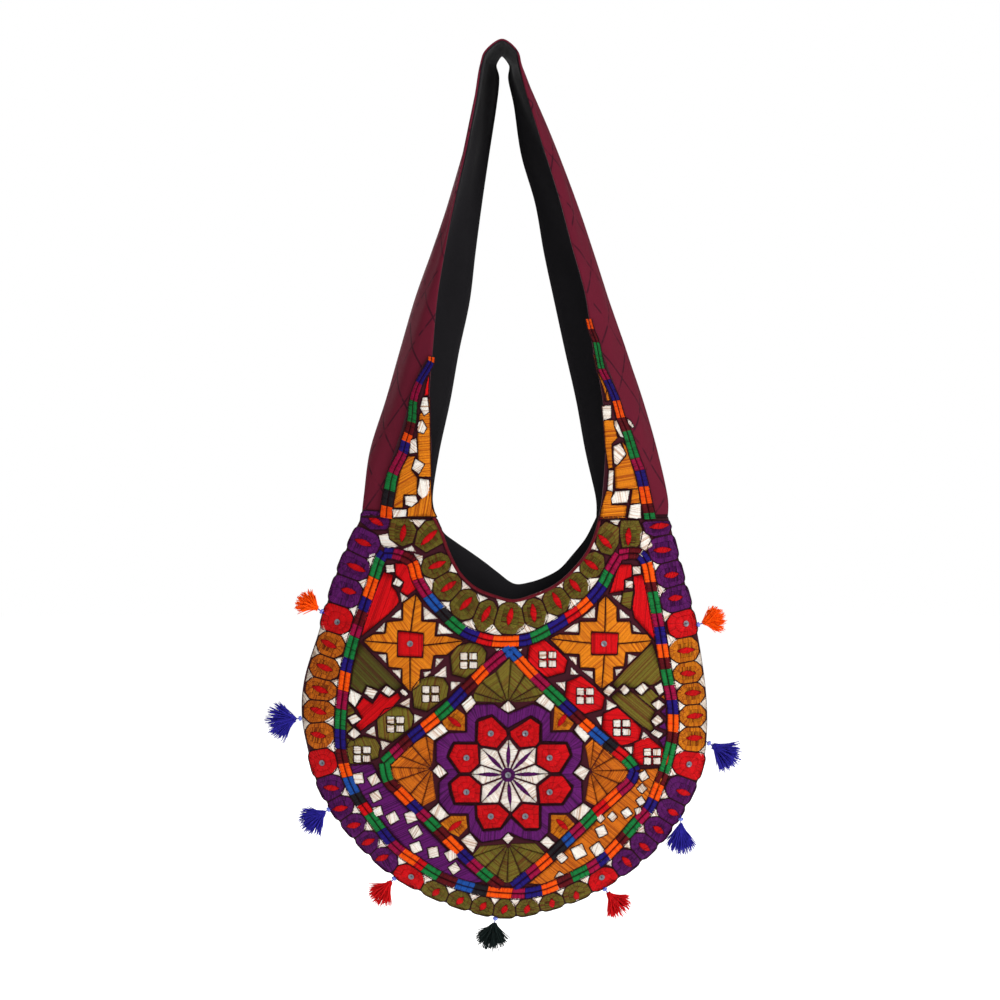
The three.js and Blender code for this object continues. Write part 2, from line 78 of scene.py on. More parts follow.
# The studio is a wide pale floor with an even white glow under a white sky, which shows pure white
# but lights the bag only softly. Two large soft lights stand in front of the bag, one behind it.
def add_mesh(name, points, faces, material, closed=True):
    """A smooth mesh object from points in millimetres and equal faces as rows of point numbers. A
    closed mesh whose faces enclose less than nothing is turned the right way out."""
    points = np.asarray(points, float)
    faces = np.ascontiguousarray(faces, dtype=np.int32)
    if closed:
        first = points[faces[:, 0]]
        fans = [(points[faces[:, k]], points[faces[:, k + 1]]) for k in range(1, faces.shape[1] - 1)]
        enclosed = sum((first * np.cross(second, third)).sum() for second, third in fans)
        faces = faces if enclosed > 0 else np.ascontiguousarray(faces[:, ::-1])
    mesh = bpy.data.meshes.new(name)
    mesh.vertices.add(len(points))
    mesh.vertices.foreach_set("co", (points * metre).astype(np.float32).ravel())
    mesh.loops.add(faces.size)
    mesh.loops.foreach_set("vertex_index", faces.ravel())
    mesh.polygons.add(len(faces))
    starts = np.arange(0, faces.size, faces.shape[1], dtype=np.int32)
    mesh.polygons.foreach_set("loop_start", starts)
    mesh.polygons.foreach_set("use_smooth", np.ones(len(faces), dtype=bool))
    mesh.update(calc_edges=True)
    mesh.materials.append(material)
    piece = bpy.data.objects.new(name, mesh)
    bpy.context.scene.collection.objects.link(piece)
    return piece


def grid_faces(rows, columns, first=0):
    """The quads of a grid of points stored row by row."""
    corner = first + np.arange(rows - 1)[:, None] * columns + np.arange(columns - 1)[None]
    quads = np.stack([corner, corner + 1, corner + columns + 1, corner + columns], axis=-1)
    return quads.reshape(-1, 4)


def tint(red, green, blue):
    """A colour as seen on a screen, 0 to 255, as the shader's linear values."""
    seen = np.array([red, green, blue]) / 255
    linear = np.where(seen < 0.04045, seen / 12.92, ((seen + 0.055) / 1.055) ** 2.4)
    return (*linear.tolist(), 1.0)


class Value:
    """A node's output. Sums, differences, products and quotients of values add Math nodes."""

    def __init__(self, finish, socket):
        self.finish = finish
        self.socket = socket

    def joined(self, operation, first, second):
        return self.finish.node("Math", {"operation": operation}, {0: first, 1: second})

    def __add__(self, other):
        return self.joined("ADD", self, other)

    def __radd__(self, other):
        return self.joined("ADD", other, self)

    def __sub__(self, other):
        return self.joined("SUBTRACT", self, other)

    def __rsub__(self, other):
        return self.joined("SUBTRACT", other, self)

    def __mul__(self, other):
        return self.joined("MULTIPLY", self, other)

    def __rmul__(self, other):
        return self.joined("MULTIPLY", other, self)


class Finish:
    """A material: its shader's own values, and the nodes that are added to it."""

    def __init__(self, name, **sockets):
        self.material = bpy.data.materials.new(name)
        self.material.use_nodes = True
        self.tree = self.material.node_tree
        self.shader = self.tree.nodes["Principled BSDF"]
        for socket, value in sockets.items():
            self.shader.inputs[socket.replace("_", " ")].default_value = value

    def node(self, kind, settings, inputs, output=0):
        """A node with its settings made first, and each of its inputs set or linked."""
        node = self.tree.nodes.new("ShaderNode" + kind)
        for key, value in settings.items():
            if key == "stops":
                for place, (stop, colour) in zip(node.color_ramp.elements, value):
                    place.position = stop
                    place.color = colour
            else:
                setattr(node, key, value)
        for key, value in inputs.items():
            if isinstance(value, Value):
                self.tree.links.new(value.socket, node.inputs[key])
            else:
                node.inputs[key].default_value = value
        return Value(self, node.outputs[output])

    def place(self):
        """The point on the object, in metres."""
        return self.node("TexCoord", {}, {}, "Object")

    def blend(self, share, first, second, way="MIX"):
        """The first colour at a share of 0 and the second at a share of 1."""
        settings = {"data_type": "RGBA", "blend_type": way}
        return self.node("Mix", settings, {0: share, 6: first, 7: second}, 2)

    def noise(self, place, scale, detail=2.0):
        """A cloudy pattern from 0 to 1, with so many patches to a metre."""
        return self.node("TexNoise", {}, {"Vector": place, "Scale": scale, "Detail": detail})

    def feed(self, socket, value):
        self.tree.links.new(value.socket, self.shader.inputs[socket])

    def relief(self, height, depth, strength=1.0):
        """Bump of the given depth in metres from a height of 0 to 1."""
        inputs = {"Height": height, "Distance": depth, "Strength": strength}
        self.feed("Normal", self.node("Bump", {}, inputs, "Normal"))


floor_height = -1010.0
floor_half = 9000.0
floor_glow = 0.68
pale_floor = Finish("pale_floor", Roughness=0.9, Emission_Strength=floor_glow)
pale_floor.shader.inputs["Emission Color"].default_value = (1, 1, 1, 1)
floor_mottle = pale_floor.noise(pale_floor.place(), 3.0)
pale_floor.feed(
    "Base Color", pale_floor.blend(floor_mottle, tint(244, 244, 243), tint(248, 248, 247))
)
floor_ends = np.array([-floor_half, floor_half])
floor_points = np.stack(
    [np.tile(floor_ends, 2), np.repeat(floor_ends, 2), np.full(4, floor_height)], axis=1
)
studio_floor = add_mesh(
    "studio_floor", floor_points, grid_faces(2, 2), pale_floor.material, closed=False
)
studio_floor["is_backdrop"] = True


def soft_light(name, place, aim, size, power):
    """A square area light in metres, turned to face its aim."""
    data = bpy.data.lights.new(name, "AREA")
    data.size = size
    data.energy = power
    light = bpy.data.objects.new(name, data)
    light.location = place
    way = np.array(aim) - np.array(place)
    level = math.hypot(way[0], way[1])
    light.rotation_euler = (math.atan2(level, -way[2]), 0, math.atan2(-way[0], way[1]))
    bpy.context.scene.collection.objects.link(light)


soft_light("key_light", (1.4, -1.5, 0.25), (0, 0, -0.6), 0.9, 38)
soft_light("fill_light", (-2.0, -2.4, 0.2), (0, 0, -0.5), 1.8, 14)
soft_light("back_light", (-1.2, 2.2, 0.8), (0, 0, -0.6), 1.4, 40)
world = bpy.data.worlds.new("studio_sky")
world.use_nodes = True
sky = world.node_tree.nodes["Background"]
sky.inputs["Color"].default_value = (1, 1, 1, 1)
sky_light = 0.36
seen = world.node_tree.nodes.new("ShaderNodeLightPath")
sky_strength = world.node_tree.nodes.new("ShaderNodeMath")
sky_strength.operation = "MULTIPLY_ADD"
sky_strength.inputs[1].default_value = 1 - sky_light
sky_strength.inputs[2].default_value = sky_light
world.node_tree.links.new(seen.outputs["Is Camera Ray"], sky_strength.inputs[0])
world.node_tree.links.new(sky_strength.outputs[0], sky.inputs["Strength"])
bpy.context.scene.world = world
bpy.context.scene.view_settings.view_transform = "Standard"

# The front is a round of dark maroon cotton, seamed to the back along its edge and cut in a deep
# scoop at the mouth. It is the ground that the round's embroidery is worked on.
body_radius = 204.5
body_rise = 202.0
body_shift = 2.0
front_belly = 28.0
back_belly = 26.0
strap_drop = 472.0
left_reach = 142.0
right_reach = 168.0
band_half = 76.0
front_mouth_drop = 83.0
front_mouth_ends = (0.98, 0.93)
layer_fit = 0.5
seam_half = 0.15
binding_height = 3.0
pucker_height = 0.35
strap_foot_rise = 1.9
thin_edge = 1.5
body_middle = np.array([body_shift, -strap_drop - body_rise])
body_top = -strap_drop - layer_fit
outline_rows = [
    (-133, 1.107), (-124, 1.045), (-114, 1.005), (-100, 1.004), (-90, 1.0), (-80, 0.985),
    (-70, 0.983), (-60, 0.972), (-50, 0.961), (-37, 0.962), (-25, 0.963), (-12, 0.977),
    (0, 0.998), (12, 0.986), (25, 0.981), (38, 0.986), (50, 0.997), (62, 1.004),
    (75, 1.014), (85, 1.008), (96, 1.006), (109, 1.026), (119, 1.067), (128, 1.124),
]
front_mouth_rows = [
    (0.04, 0.15), (0.09, 0.42), (0.16, 0.68), (0.25, 0.85), (0.37, 0.95), (0.48, 1.0),
    (0.61, 0.93), (0.73, 0.82), (0.84, 0.63), (0.93, 0.4), (0.98, 0.16),
]


def smooth_line(corners, steps=20):
    """A line through the corners: each gap is a cubic whose end slopes weigh both neighbours by
    the square roots of their distances."""
    corners = np.asarray(corners, float)
    ends = 2 * corners[[0, -1]] - corners[[1, -2]]
    knots = np.vstack([ends[:1], corners, ends[1:]])
    gaps = np.sqrt(np.linalg.norm(np.diff(knots, axis=0), axis=1))[:, None]
    before, here, there, after = knots[:-3], knots[1:-2], knots[2:-1], knots[3:]
    low, gap, high = gaps[:-2], gaps[1:-1], gaps[2:]
    leave = gap * ((here - before) / low - (there - before) / (low + gap)) + there - here
    reach = gap * ((after - there) / high - (after - here) / (gap + high)) + there - here
    t = np.arange(steps)[:, None, None] / steps
    line = (
        here * (2 * t**3 - 3 * t**2 + 1)
        + leave * (t**3 - 2 * t**2 + t)
        + there * (3 * t**2 - 2 * t**3)
        + reach * (t**3 - t**2)
    )
    line = line.transpose(1, 0, 2).reshape(-1, corners.shape[1])
    return np.vstack([line, corners[-1]])


def distances(line):
    """How far along the line each of its points is."""
    steps = np.linalg.norm(np.diff(line, axis=0), axis=1)
    return np.concatenate([[0], np.cumsum(steps)])


def walk(line, far):
    """The points at the given distances along the line."""
    total = distances(line)
    return np.stack([np.interp(far, total, column) for column in line.T], axis=-1)


def leftward(line, far):
    """The unit vectors square to the line at the given distances, to its left as it runs."""
    step = 0.5
    far = np.clip(far, step, distances(line)[-1] - step)
    ahead = walk(line, far + step) - walk(line, far - step)
    ahead /= np.linalg.norm(ahead, axis=-1, keepdims=True)
    return np.stack([-ahead[..., 1], ahead[..., 0]], axis=-1)


outline_angles = np.radians([row[0] for row in outline_rows])
outline_reach = body_radius * np.array([row[1] for row in outline_rows])
round_corners = body_middle + outline_reach[:, None] * np.stack(
    [np.sin(outline_angles), -np.cos(outline_angles)], axis=1
)
shoulders = np.array([[-left_reach, body_top], [right_reach, body_top]])
outline = smooth_line(np.vstack([shoulders[:1], round_corners, shoulders[1:]]))
outline_length = distances(outline)[-1]


def mouth_line(rows, ends, drop):
    """The mouth's edge from the left flap of the strap to the right one."""
    left = -left_reach + band_half * ends[0]
    right = right_reach - band_half * ends[1]
    rows = [(0, 0), *rows, (1, 0)]
    return smooth_line([(left + (right - left) * x, body_top - drop * z) for x, z in rows])


front_mouth = mouth_line(front_mouth_rows, front_mouth_ends, front_mouth_drop)

# Distances from the outline are looked up on a fine square net of places, signed so that they
# run on smoothly past the edge.
net_step = 2.0
net_x = np.arange(-250, 260, net_step)
net_z = np.arange(-900, -440, net_step)


def signed_distance(places):
    """The least distance from places to the outline's short segments, less than 0 outside."""
    corners = walk(outline, np.linspace(0, outline_length, 241))
    start, run = corners[:-1], np.diff(corners, axis=0)
    offset = places[:, None] - start
    share = np.clip((offset * run).sum(-1) / (run**2).sum(-1), 0, 1)
    gap = offset - share[..., None] * run
    far = np.linalg.norm(gap, axis=-1)
    nearest = far.argmin(axis=1)
    row = np.arange(len(places))
    side = run[nearest, 0] * offset[row, nearest, 1] - run[nearest, 1] * offset[row, nearest, 0]
    return far[row, nearest] * np.where(side < 0, -1, 1)


net_places = np.stack(np.meshgrid(net_x, net_z, indexing="ij"), axis=-1).reshape(-1, 2)
net = np.concatenate([signed_distance(part) for part in np.array_split(net_places, 60)])
net = net.reshape(len(net_x), len(net_z))


def from_edge(x, z):
    """The distance inward from the outline, taken between the net's four nearest places."""
    i = np.clip((x - net_x[0]) / net_step, 0, len(net_x) - 1.001)
    j = np.clip((z - net_z[0]) / net_step, 0, len(net_z) - 1.001)
    low_i, low_j = i.astype(int), j.astype(int)
    i, j = i - low_i, j - low_j
    low = net[low_i, low_j] * (1 - i) + net[low_i + 1, low_j] * i
    high = net[low_i, low_j + 1] * (1 - i) + net[low_i + 1, low_j + 1] * i
    return low * (1 - j) + high * j


def swell(x, z, inset=0.0):
    """0 at the seam and 1 in the middle: (1 - (1 - distance / radius) ^ 2.6) ^ 0.7."""
    share = np.clip((from_edge(x, z) - inset) / body_radius, 0, 1)
    return (1 - (1 - share) ** 2.6) ** 0.7


def front_depth(x, z):
    """How far forward of the seam the embroidered face lies, with the cloth's slow pucker. Above
    the body's top it stays as it is there."""
    z = np.minimum(z, body_top)
    flat = seam_half + front_belly * swell(x, z)
    pucker = np.sin(x / 19 + 1.7 * np.sin(z / 37)) * np.sin(z / 23 + 1.3 * np.sin(x / 29))
    return flat + pucker_height * pucker * swell(x, z)


def on_front(x, z, lift):
    """The point over a place, lifted off the embroidered face, less where the edge is thin, and
    more over the strap's foot."""
    depth = front_depth(x, z)
    over_strap = strap_foot_rise * np.clip(z - body_top, 0, 1)
    return np.stack([x, -(depth + lift * depth / (depth + thin_edge) + over_strap), z], axis=-1)


def panel_plan(mouth, inset, sink, around, across):
    """Places over the round: between the outline and the mouth's edge at equal shares, closer
    together at the outline by the power 1.6."""
    share = np.linspace(0, 1, around)
    far = share * outline_length
    edge = walk(outline, far) + inset * leftward(outline, far)
    lip_far = share * distances(mouth)[-1]
    lip = walk(mouth, lip_far) - sink * leftward(mouth, lip_far)
    t = np.linspace(0, 1, across)[None, :, None] ** 1.6
    return edge[:, None] * (1 - t) + lip[:, None] * t


def closed_wall(name, face, back, material):
    """A closed sheet between two equal grids of points. Its narrow sides are shaded flat."""
    rows, columns = face.shape[:2]
    count = rows * columns
    index = np.arange(count).reshape(rows, columns)
    ring = np.concatenate([index[0, :-1], index[:-1, -1], index[-1, :0:-1], index[:0:-1, 0]])
    following = np.roll(ring, -1)
    sides = np.stack([following, ring, ring + count, following + count], axis=1)
    backs = grid_faces(rows, columns, count)[:, ::-1]
    points = np.vstack([face.reshape(-1, 3), back.reshape(-1, 3)])
    wall = add_mesh(name, points, np.vstack([grid_faces(rows, columns), backs, sides]), material)
    smooth = np.ones(len(wall.data.polygons), dtype=bool)
    smooth[-len(sides) :] = False
    wall.data.polygons.foreach_set("use_smooth", smooth)
    return wall


def in_place(piece, slot, *nodes):
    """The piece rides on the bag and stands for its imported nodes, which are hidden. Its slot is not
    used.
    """
    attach(piece, "root")
    if nodes:
        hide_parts(*nodes)


weave_scale = 420.0


def woven(name, colour, worn, sheen=0.05):
    """Plain cotton: two crossed sets of fine waves for the weave, on the piece's own map in
    metres, a slow mottle between its colour and a worn shade, and a dull bloom."""
    cloth = Finish(name, Roughness=0.85, Sheen_Weight=sheen, Sheen_Roughness=0.5)
    cloth.shader.inputs["Specular IOR Level"].default_value = 0.1
    cloth.map = cloth.node("UVMap", {"uv_map": "cloth"}, {})
    ways = {}
    for way in ("X", "Y"):
        settings = {"wave_type": "BANDS", "bands_direction": way}
        inputs = {"Vector": cloth.map, "Scale": weave_scale, "Distortion": 0.6, "Detail": 1.0}
        ways[way] = cloth.node("TexWave", settings, inputs, "Fac")
    cloth.weave = ways["X"] * 0.5 + ways["Y"] * 0.5
    mottle = cloth.noise(cloth.place(), 28.0, 4.0)
    fleck = cloth.noise(cloth.place(), 1400.0, 1.0)
    share = mottle * 0.7 + fleck * 0.5 - 0.1
    cloth.colour = cloth.blend(share, colour, worn)
    return cloth


def map_cloth(piece, wide, tall):
    """The piece's own map in metres: wide and tall are its grid's distances in millimetres. Both
    faces of a closed sheet share it."""
    flat = np.stack([wide, tall], axis=-1).reshape(-1, 2) * metre
    flat = np.vstack([flat, flat])
    layer = piece.data.uv_layers.new(name="cloth")
    corner = np.zeros(len(piece.data.loops), dtype=np.int32)
    piece.data.loops.foreach_get("vertex_index", corner)
    layer.uv.foreach_set("vector", flat[corner].astype(np.float32).ravel())


ground_cloth = woven("ground_cloth", tint(64, 15, 27), tint(40, 10, 20))
ground_cloth.feed("Base Color", ground_cloth.colour)
weave_depth = 0.0002
ground_cloth.relief(ground_cloth.weave, weave_depth)
ground_sink = 1.6
front_back_inset = 2.7
wall_rows, wall_columns = 161, 27
ground_plan = panel_plan(front_mouth, 0.0, binding_height, wall_rows, wall_columns)
ground_face = on_front(ground_plan[..., 0], ground_plan[..., 1], -ground_sink)
back_plan = panel_plan(front_mouth, front_back_inset, binding_height, wall_rows, wall_columns)
back_depth = seam_half + (front_belly - front_back_inset) * swell(
    back_plan[..., 0], back_plan[..., 1], front_back_inset
)
ground_back = np.stack([back_plan[..., 0], -back_depth, back_plan[..., 1]], axis=-1)
front_cloth = closed_wall("front_cloth", ground_face, ground_back, ground_cloth.material)
map_cloth(front_cloth, ground_plan[..., 0], ground_plan[..., 1])
in_place(front_cloth, "embroidery", "front_panel")

# The embroidery is satin stitch in glossy floss: threads laid side by side over each charted
# shape, their ends pulled down into the ground, with the dark ground left as a line between.
floss_shades = {
    "purple": ((86, 20, 92), (48, 10, 50), 0.34),
    "red": ((200, 8, 16), (136, 4, 10), 0.22),
    "orange": ((248, 78, 4), (206, 42, 2), 0.16),
    "amber": ((214, 118, 18), (134, 48, 10), 0.38),
    "tawny": ((196, 98, 18), (108, 38, 10), 0.42),
    "olive": ((100, 92, 30), (88, 38, 20), 0.38),
    "moss": ((70, 70, 24), (64, 30, 20), 0.38),
    "green": ((20, 112, 52), (8, 60, 30), 0.15),
    "navy": ((30, 18, 104), (16, 8, 54), 0.2),
    "royal": ((26, 72, 152), (14, 34, 84), 0.15),
    "magenta": ((144, 8, 56), (88, 4, 36), 0.2),
    "maroon": ((84, 10, 18), (50, 5, 12), 0.2),
    "black": ((28, 25, 29), (14, 12, 16), 0.15),
    "white": ((246, 236, 224), (176, 132, 100), 0.27),
    "beige": ((214, 200, 184), (160, 130, 108), 0.2),
    "line": ((48, 12, 20), (34, 8, 14), 0.3),
}
shade_names = list(floss_shades)
main_shades = np.array([tint(*floss_shades[name][0])[:3] for name in shade_names])
fleck_shades = np.array([tint(*floss_shades[name][1])[:3] for name in shade_names])
fleck_shares = np.array([floss_shades[name][2] for name in shade_names])
thread_pitch = 0.8
thread_width = 1.1
thread_twist = 1.6
thread_crown = 0.26
thread_arch = 0.85
cell_margin = 0.2
level_lift = 0.55
stitch_seat = 0.15
# Painted shade at stitch ends: the darkest share of a thread's colour, and how far in millimetres it
# reaches.
painted_end_shade = 0.5
painted_shade_reach = 1.4
fleck_strength = (0.35, 0.9)
plain_strength = (0, 0.12)
thread_tone = 0.07
shape_tones = (0.93, 1.06)
four_stations = (0, 0.14, 0.86, 1)
laid = []


def lay(starts, ends, shade, level=0, widths=(1.0, 1.0)):
    """Lays stitches between places on the cloth, all in one shade or each in its own. Threads of
    a shape share its small difference of tone, and some are of the shade's darker fleck."""
    starts = np.asarray(starts, float)
    ends = np.asarray(ends, float)
    count = len(starts)
    if count == 0:
        return
    names = [shade] * count if isinstance(shade, str) else shade
    index = np.array([shade_names.index(name) for name in names])
    flecked = draw.random(count) < fleck_shares[index]
    share = np.where(
        flecked, draw.uniform(*fleck_strength, count), draw.uniform(*plain_strength, count)
    )
    colour = main_shades[index] * (1 - share[:, None]) + fleck_shades[index] * share[:, None]
    tone = draw.normal(1, thread_tone, count) * draw.uniform(*shape_tones)
    colour = np.clip(colour * tone[:, None], 0, 0.9)
    lifts = np.full(count, level * level_lift)
    thick = np.tile(widths, (count, 1))
    laid.append(np.column_stack([starts, ends, lifts, thick, colour]))


def tube_faces(count, rings):
    """The triangles of three-sided tubes with closed ends, their points stored ring by ring."""
    first = np.arange(count)[:, None, None] * rings * 3
    here = first + np.arange(rings - 1)[:, None] * 3 + np.arange(3)
    beside = first + np.arange(rings - 1)[:, None] * 3 + np.array([1, 2, 0])
    flats = [
        np.stack([here, here + 3, beside + 3], axis=-1).reshape(-1, 3),
        np.stack([here, beside + 3, beside], axis=-1).reshape(-1, 3),
        first.reshape(-1, 1) + np.array([0, 1, 2]),
        first.reshape(-1, 1) + (rings - 1) * 3 + np.array([2, 1, 0]),
    ]
    return np.concatenate(flats)


def sew(name, face=on_front, slot="embroidery", stations=four_stations):
    """Makes the stitches laid so far one piece. Each is a three-sided ridge: places run straight
    from end to end, and the lift is the arch times 1 - (2 share - 1) ^ 4 plus the crown on the
    middle of the three sides. Its ends, where they go into the ground, carry painted shade."""
    rows = np.concatenate(laid)
    laid.clear()
    run = rows[:, 2:4] - rows[:, 0:2]
    length = np.maximum(np.linalg.norm(run, axis=1), 0.05)
    square = np.stack([-run[:, 1], run[:, 0]], axis=1) / length[:, None]
    along = np.array(stations)
    side = np.array([-0.5, 0, 0.5])
    wide = thread_width * (rows[:, 5:6] * (1 - along) + rows[:, 6:7] * along)
    place = rows[:, None, None, 0:2] + run[:, None, None] * along[:, None, None]
    place = place + (square[:, None, None] * (wide[..., None] * side)[..., None])
    arch = thread_arch * np.clip(length / 6, 0.35, 1)[:, None] * (1 - (2 * along - 1) ** 4)
    crown = np.array([0, thread_crown, 0])
    lift = (rows[:, 4:5] + arch - ground_sink + stitch_seat)[..., None] + crown
    points = face(place[..., 0], place[..., 1], lift)
    count, steps = len(rows), len(along)
    piece = add_mesh(name, points.reshape(-1, 3), tube_faces(count, steps), floss.material)
    colour = np.ones((count, steps * 3, 4), dtype=np.float32)
    # Painted shade: each stitch's colour darkens towards its ends, where it dips into the ground.
    near_end = np.minimum(along, 1 - along) * length[:, None]
    shaded = np.interp(near_end, (0, painted_shade_reach), (painted_end_shade, 1))
    colour[..., :3] = rows[:, None, 7:10] * np.repeat(shaded, 3, axis=1)[..., None]
    shades = piece.data.color_attributes.new("floss", "FLOAT_COLOR", "POINT")
    shades.data.foreach_set("color", colour.ravel())
    turns = np.repeat(length[:, None] * along / thread_twist, 3, axis=1) + side[None].repeat(
        steps, axis=0
    ).reshape(1, -1)
    twist = piece.data.attributes.new("twist", "FLOAT", "POINT")
    twist.data.foreach_set("value", turns.astype(np.float32).ravel())
    squares = math.ceil(math.sqrt(count))
    cell = np.stack([np.arange(count) % squares, np.arange(count) // squares], axis=1)
    within = np.stack(np.broadcast_arrays(along[:, None], side[None] + 0.5), axis=-1)
    spot = (cell[:, None] + 0.1 + 0.8 * within.reshape(1, -1, 2)) / squares
    layer = piece.data.uv_layers.new(name="OFBake")
    corner = np.zeros(len(piece.data.loops), dtype=np.int32)
    piece.data.loops.foreach_get("vertex_index", corner)
    layer.uv.foreach_set("vector", spot.reshape(-1, 2)[corner].astype(np.float32).ravel())
    in_place(piece, slot)


floss = Finish("floss", Roughness=0.5)
floss.shader.inputs["Specular IOR Level"].default_value = 0.07
floss_shade = floss.node("Attribute", {"attribute_name": "floss"}, {}, "Color")
floss_fleck = floss.noise(floss.place(), 900.0, 2.0)
floss_light = floss.blend(0.55, floss_shade, (1, 1, 1, 1), "SOFT_LIGHT")
floss_dark = floss.blend(0.5, floss_shade, (0.1, 0.05, 0.05, 1), "MULTIPLY")
floss.feed("Base Color", floss.blend(floss_fleck, floss_dark, floss_light))
ply_turns = floss.node("Attribute", {"attribute_name": "twist"}, {}, "Fac")
ply = floss.node("Math", {"operation": "SINE"}, {0: ply_turns * (2 * math.pi)})
floss.relief(ply * 0.5 + 0.5, 0.00012, 0.6)


medallion = body_middle + np.array([4.0, -57.0])
crown_reach = -eye[1] - front_belly


def plan(chart, depth=front_depth):
    """Places on the cloth of a chart's points. A chart gives millimetres to the right of and up
    from the medallion's centre, as the camera sees them on the crown's plane, and each point
    slides along the camera's ray until it meets the cloth."""
    seen = np.asarray(chart, float) + medallion
    ray = seen - eye[[0, 2]]
    place = seen
    for _ in range(4):
        reach = -eye[1] - depth(place[..., 0], place[..., 1])
        place = eye[[0, 2]] + ray * (reach / crown_reach)[..., None]
    return place


def drawn_in(shape, margin):
    """The shape with each corner moved in along its two sides' mean slope, by the margin."""
    run = np.roll(shape, -1, axis=0) - shape
    turned = (run[:, 0] * np.roll(run[:, 1], -1) - run[:, 1] * np.roll(run[:, 0], -1)).sum()
    out = np.stack([-run[:, 1], run[:, 0]], axis=1) / np.linalg.norm(run, axis=1, keepdims=True)
    both = out + np.roll(out, 1, axis=0)
    scale = 1 + (out * np.roll(out, 1, axis=0)).sum(axis=1, keepdims=True)
    return shape + math.copysign(margin, turned) * both / np.maximum(scale, 0.35)


def turning(degrees):
    """Two rows: the unit vector at an angle, and the one square to it on its left."""
    angle = math.radians(degrees)
    return np.array([[math.cos(angle), math.sin(angle)], [-math.sin(angle), math.cos(angle)]])


def satin(shape, lean, shade, level=0, margin=cell_margin):
    """Parallel stitches over a shape on the cloth: lines at the given lean in degrees, a pitch
    apart, cross its outline in pairs of points, and a stitch joins each pair."""
    shape = drawn_in(np.asarray(shape, float), margin)
    way = turning(lean)
    turned = shape @ way.T
    low, high = turned[:, 1].min(), turned[:, 1].max()
    lines = np.arange(low + thread_pitch / 2, high, thread_pitch)
    lines = lines + draw.uniform(-0.12, 0.12, len(lines))
    following = np.roll(turned, -1, axis=0)
    rise = following[:, 1] - turned[:, 1]
    rise = np.where(np.abs(rise) < 1e-9, 1e-9, rise)
    crosses = (turned[:, 1] > lines[:, None]) != (following[:, 1] > lines[:, None])
    at = turned[:, 0] + (lines[:, None] - turned[:, 1]) / rise * (following - turned)[:, 0]
    at = np.sort(np.where(crosses, at, np.inf), axis=1)
    for pair in range(0, at.shape[1] - 1, 2):
        held = np.isfinite(at[:, pair + 1])
        if not held.any():
            break
        ragged = draw.uniform(-0.25, 0.25, (held.sum(), 2))
        start = np.stack([at[held, pair] + ragged[:, 0], lines[held]], axis=1)
        end = np.stack([at[held, pair + 1] + ragged[:, 1], lines[held]], axis=1)
        lay(start @ way, end @ way, shade, level)


def fan(first, second, shade, margin=cell_margin):
    """Stitches from one line to another, both shared out evenly from end to end."""
    first, second = np.asarray(first, float), np.asarray(second, float)
    longer = max(distances(first)[-1], distances(second)[-1])
    count = max(int(longer / thread_pitch), 2)
    share = (np.arange(count) + 0.5 + draw.uniform(-0.15, 0.15, count)) / count
    start = walk(first, share * distances(first)[-1])
    end = walk(second, share * distances(second)[-1])
    run = end - start
    length = np.linalg.norm(run, axis=1, keepdims=True)
    held = length[:, 0] > 2 * margin + 0.6
    pull = run / np.maximum(length, 0.1) * (margin + draw.uniform(-0.2, 0.2, (count, 1)))
    lay((start + pull)[held], (end - pull)[held], shade)


def closed_line(shape):
    """The shape's outline, with its first point again at its end."""
    return np.vstack([shape, shape[:1]])


cord_stitch = 5.0


def edge_cord(line, level, width=0.9):
    """A dark thread couched along a line in short equal stitches, which end at its corners too."""
    line = np.asarray(line, float)
    total = distances(line)[-1]
    count = max(math.ceil(total / cord_stitch), 1)
    corners = np.unique(np.concatenate([np.linspace(0, total, count + 1), distances(line)]))
    places = walk(line, corners)
    lay(places[:-1], places[1:], "line", level, (width, width))


def ring_cord(shape, level, width=0.9):
    """A dark thread couched all round a shape."""
    edge_cord(closed_line(shape), level, width)


def leaf(centre, way, half_length, half_width):
    """A pointed leaf's outline about a centre: its half width falls as 1 - share ^ 2."""
    share = np.linspace(-1, 1, 9)
    across = np.array([-way[1], way[0]])
    wide = half_width * (1 - share**2)
    one = centre + np.outer(share * half_length, way) + np.outer(wide, across)
    other = centre + np.outer(share * half_length, way) - np.outer(wide, across)
    return np.vstack([one, other[-2:0:-1]])


burst_courses = ((0.0, 0.56, 1.35), (0.5, 1.0, thread_pitch))


def burst(cell, centre, way, half_axis, shade, core=1.4):
    """Stitches that stand out all round from an axis to a cell's outline, in two courses, each
    given by where it starts and stops and its pitch at the outline. A stitch points at the
    axis's nearest place to its own on the outline, and the first course starts a core off it."""
    line = closed_line(drawn_in(cell, cell_margin))
    total = distances(line)[-1]
    for inner, outer, pitch in burst_courses:
        far = np.arange(0, total, pitch)
        rim = walk(line, far + draw.uniform(-0.12, 0.12, len(far)))
        axis = np.clip((rim - centre) @ way, -half_axis, half_axis)
        foot = centre + axis[:, None] * way
        run = rim - foot
        length = np.linalg.norm(run, axis=1, keepdims=True)
        foot = foot + run / length * np.minimum(core, length * 0.5)
        run = rim - foot
        ragged = draw.uniform(-0.03, 0.03, (len(far), 2))
        start = foot + run * (inner + ragged[:, :1])
        end = foot + run * (outer + ragged[:, 1:] * (outer < 1))
        lay(start, end, shade, 0, (0.75 if inner == 0 else 0.95, 1.0))


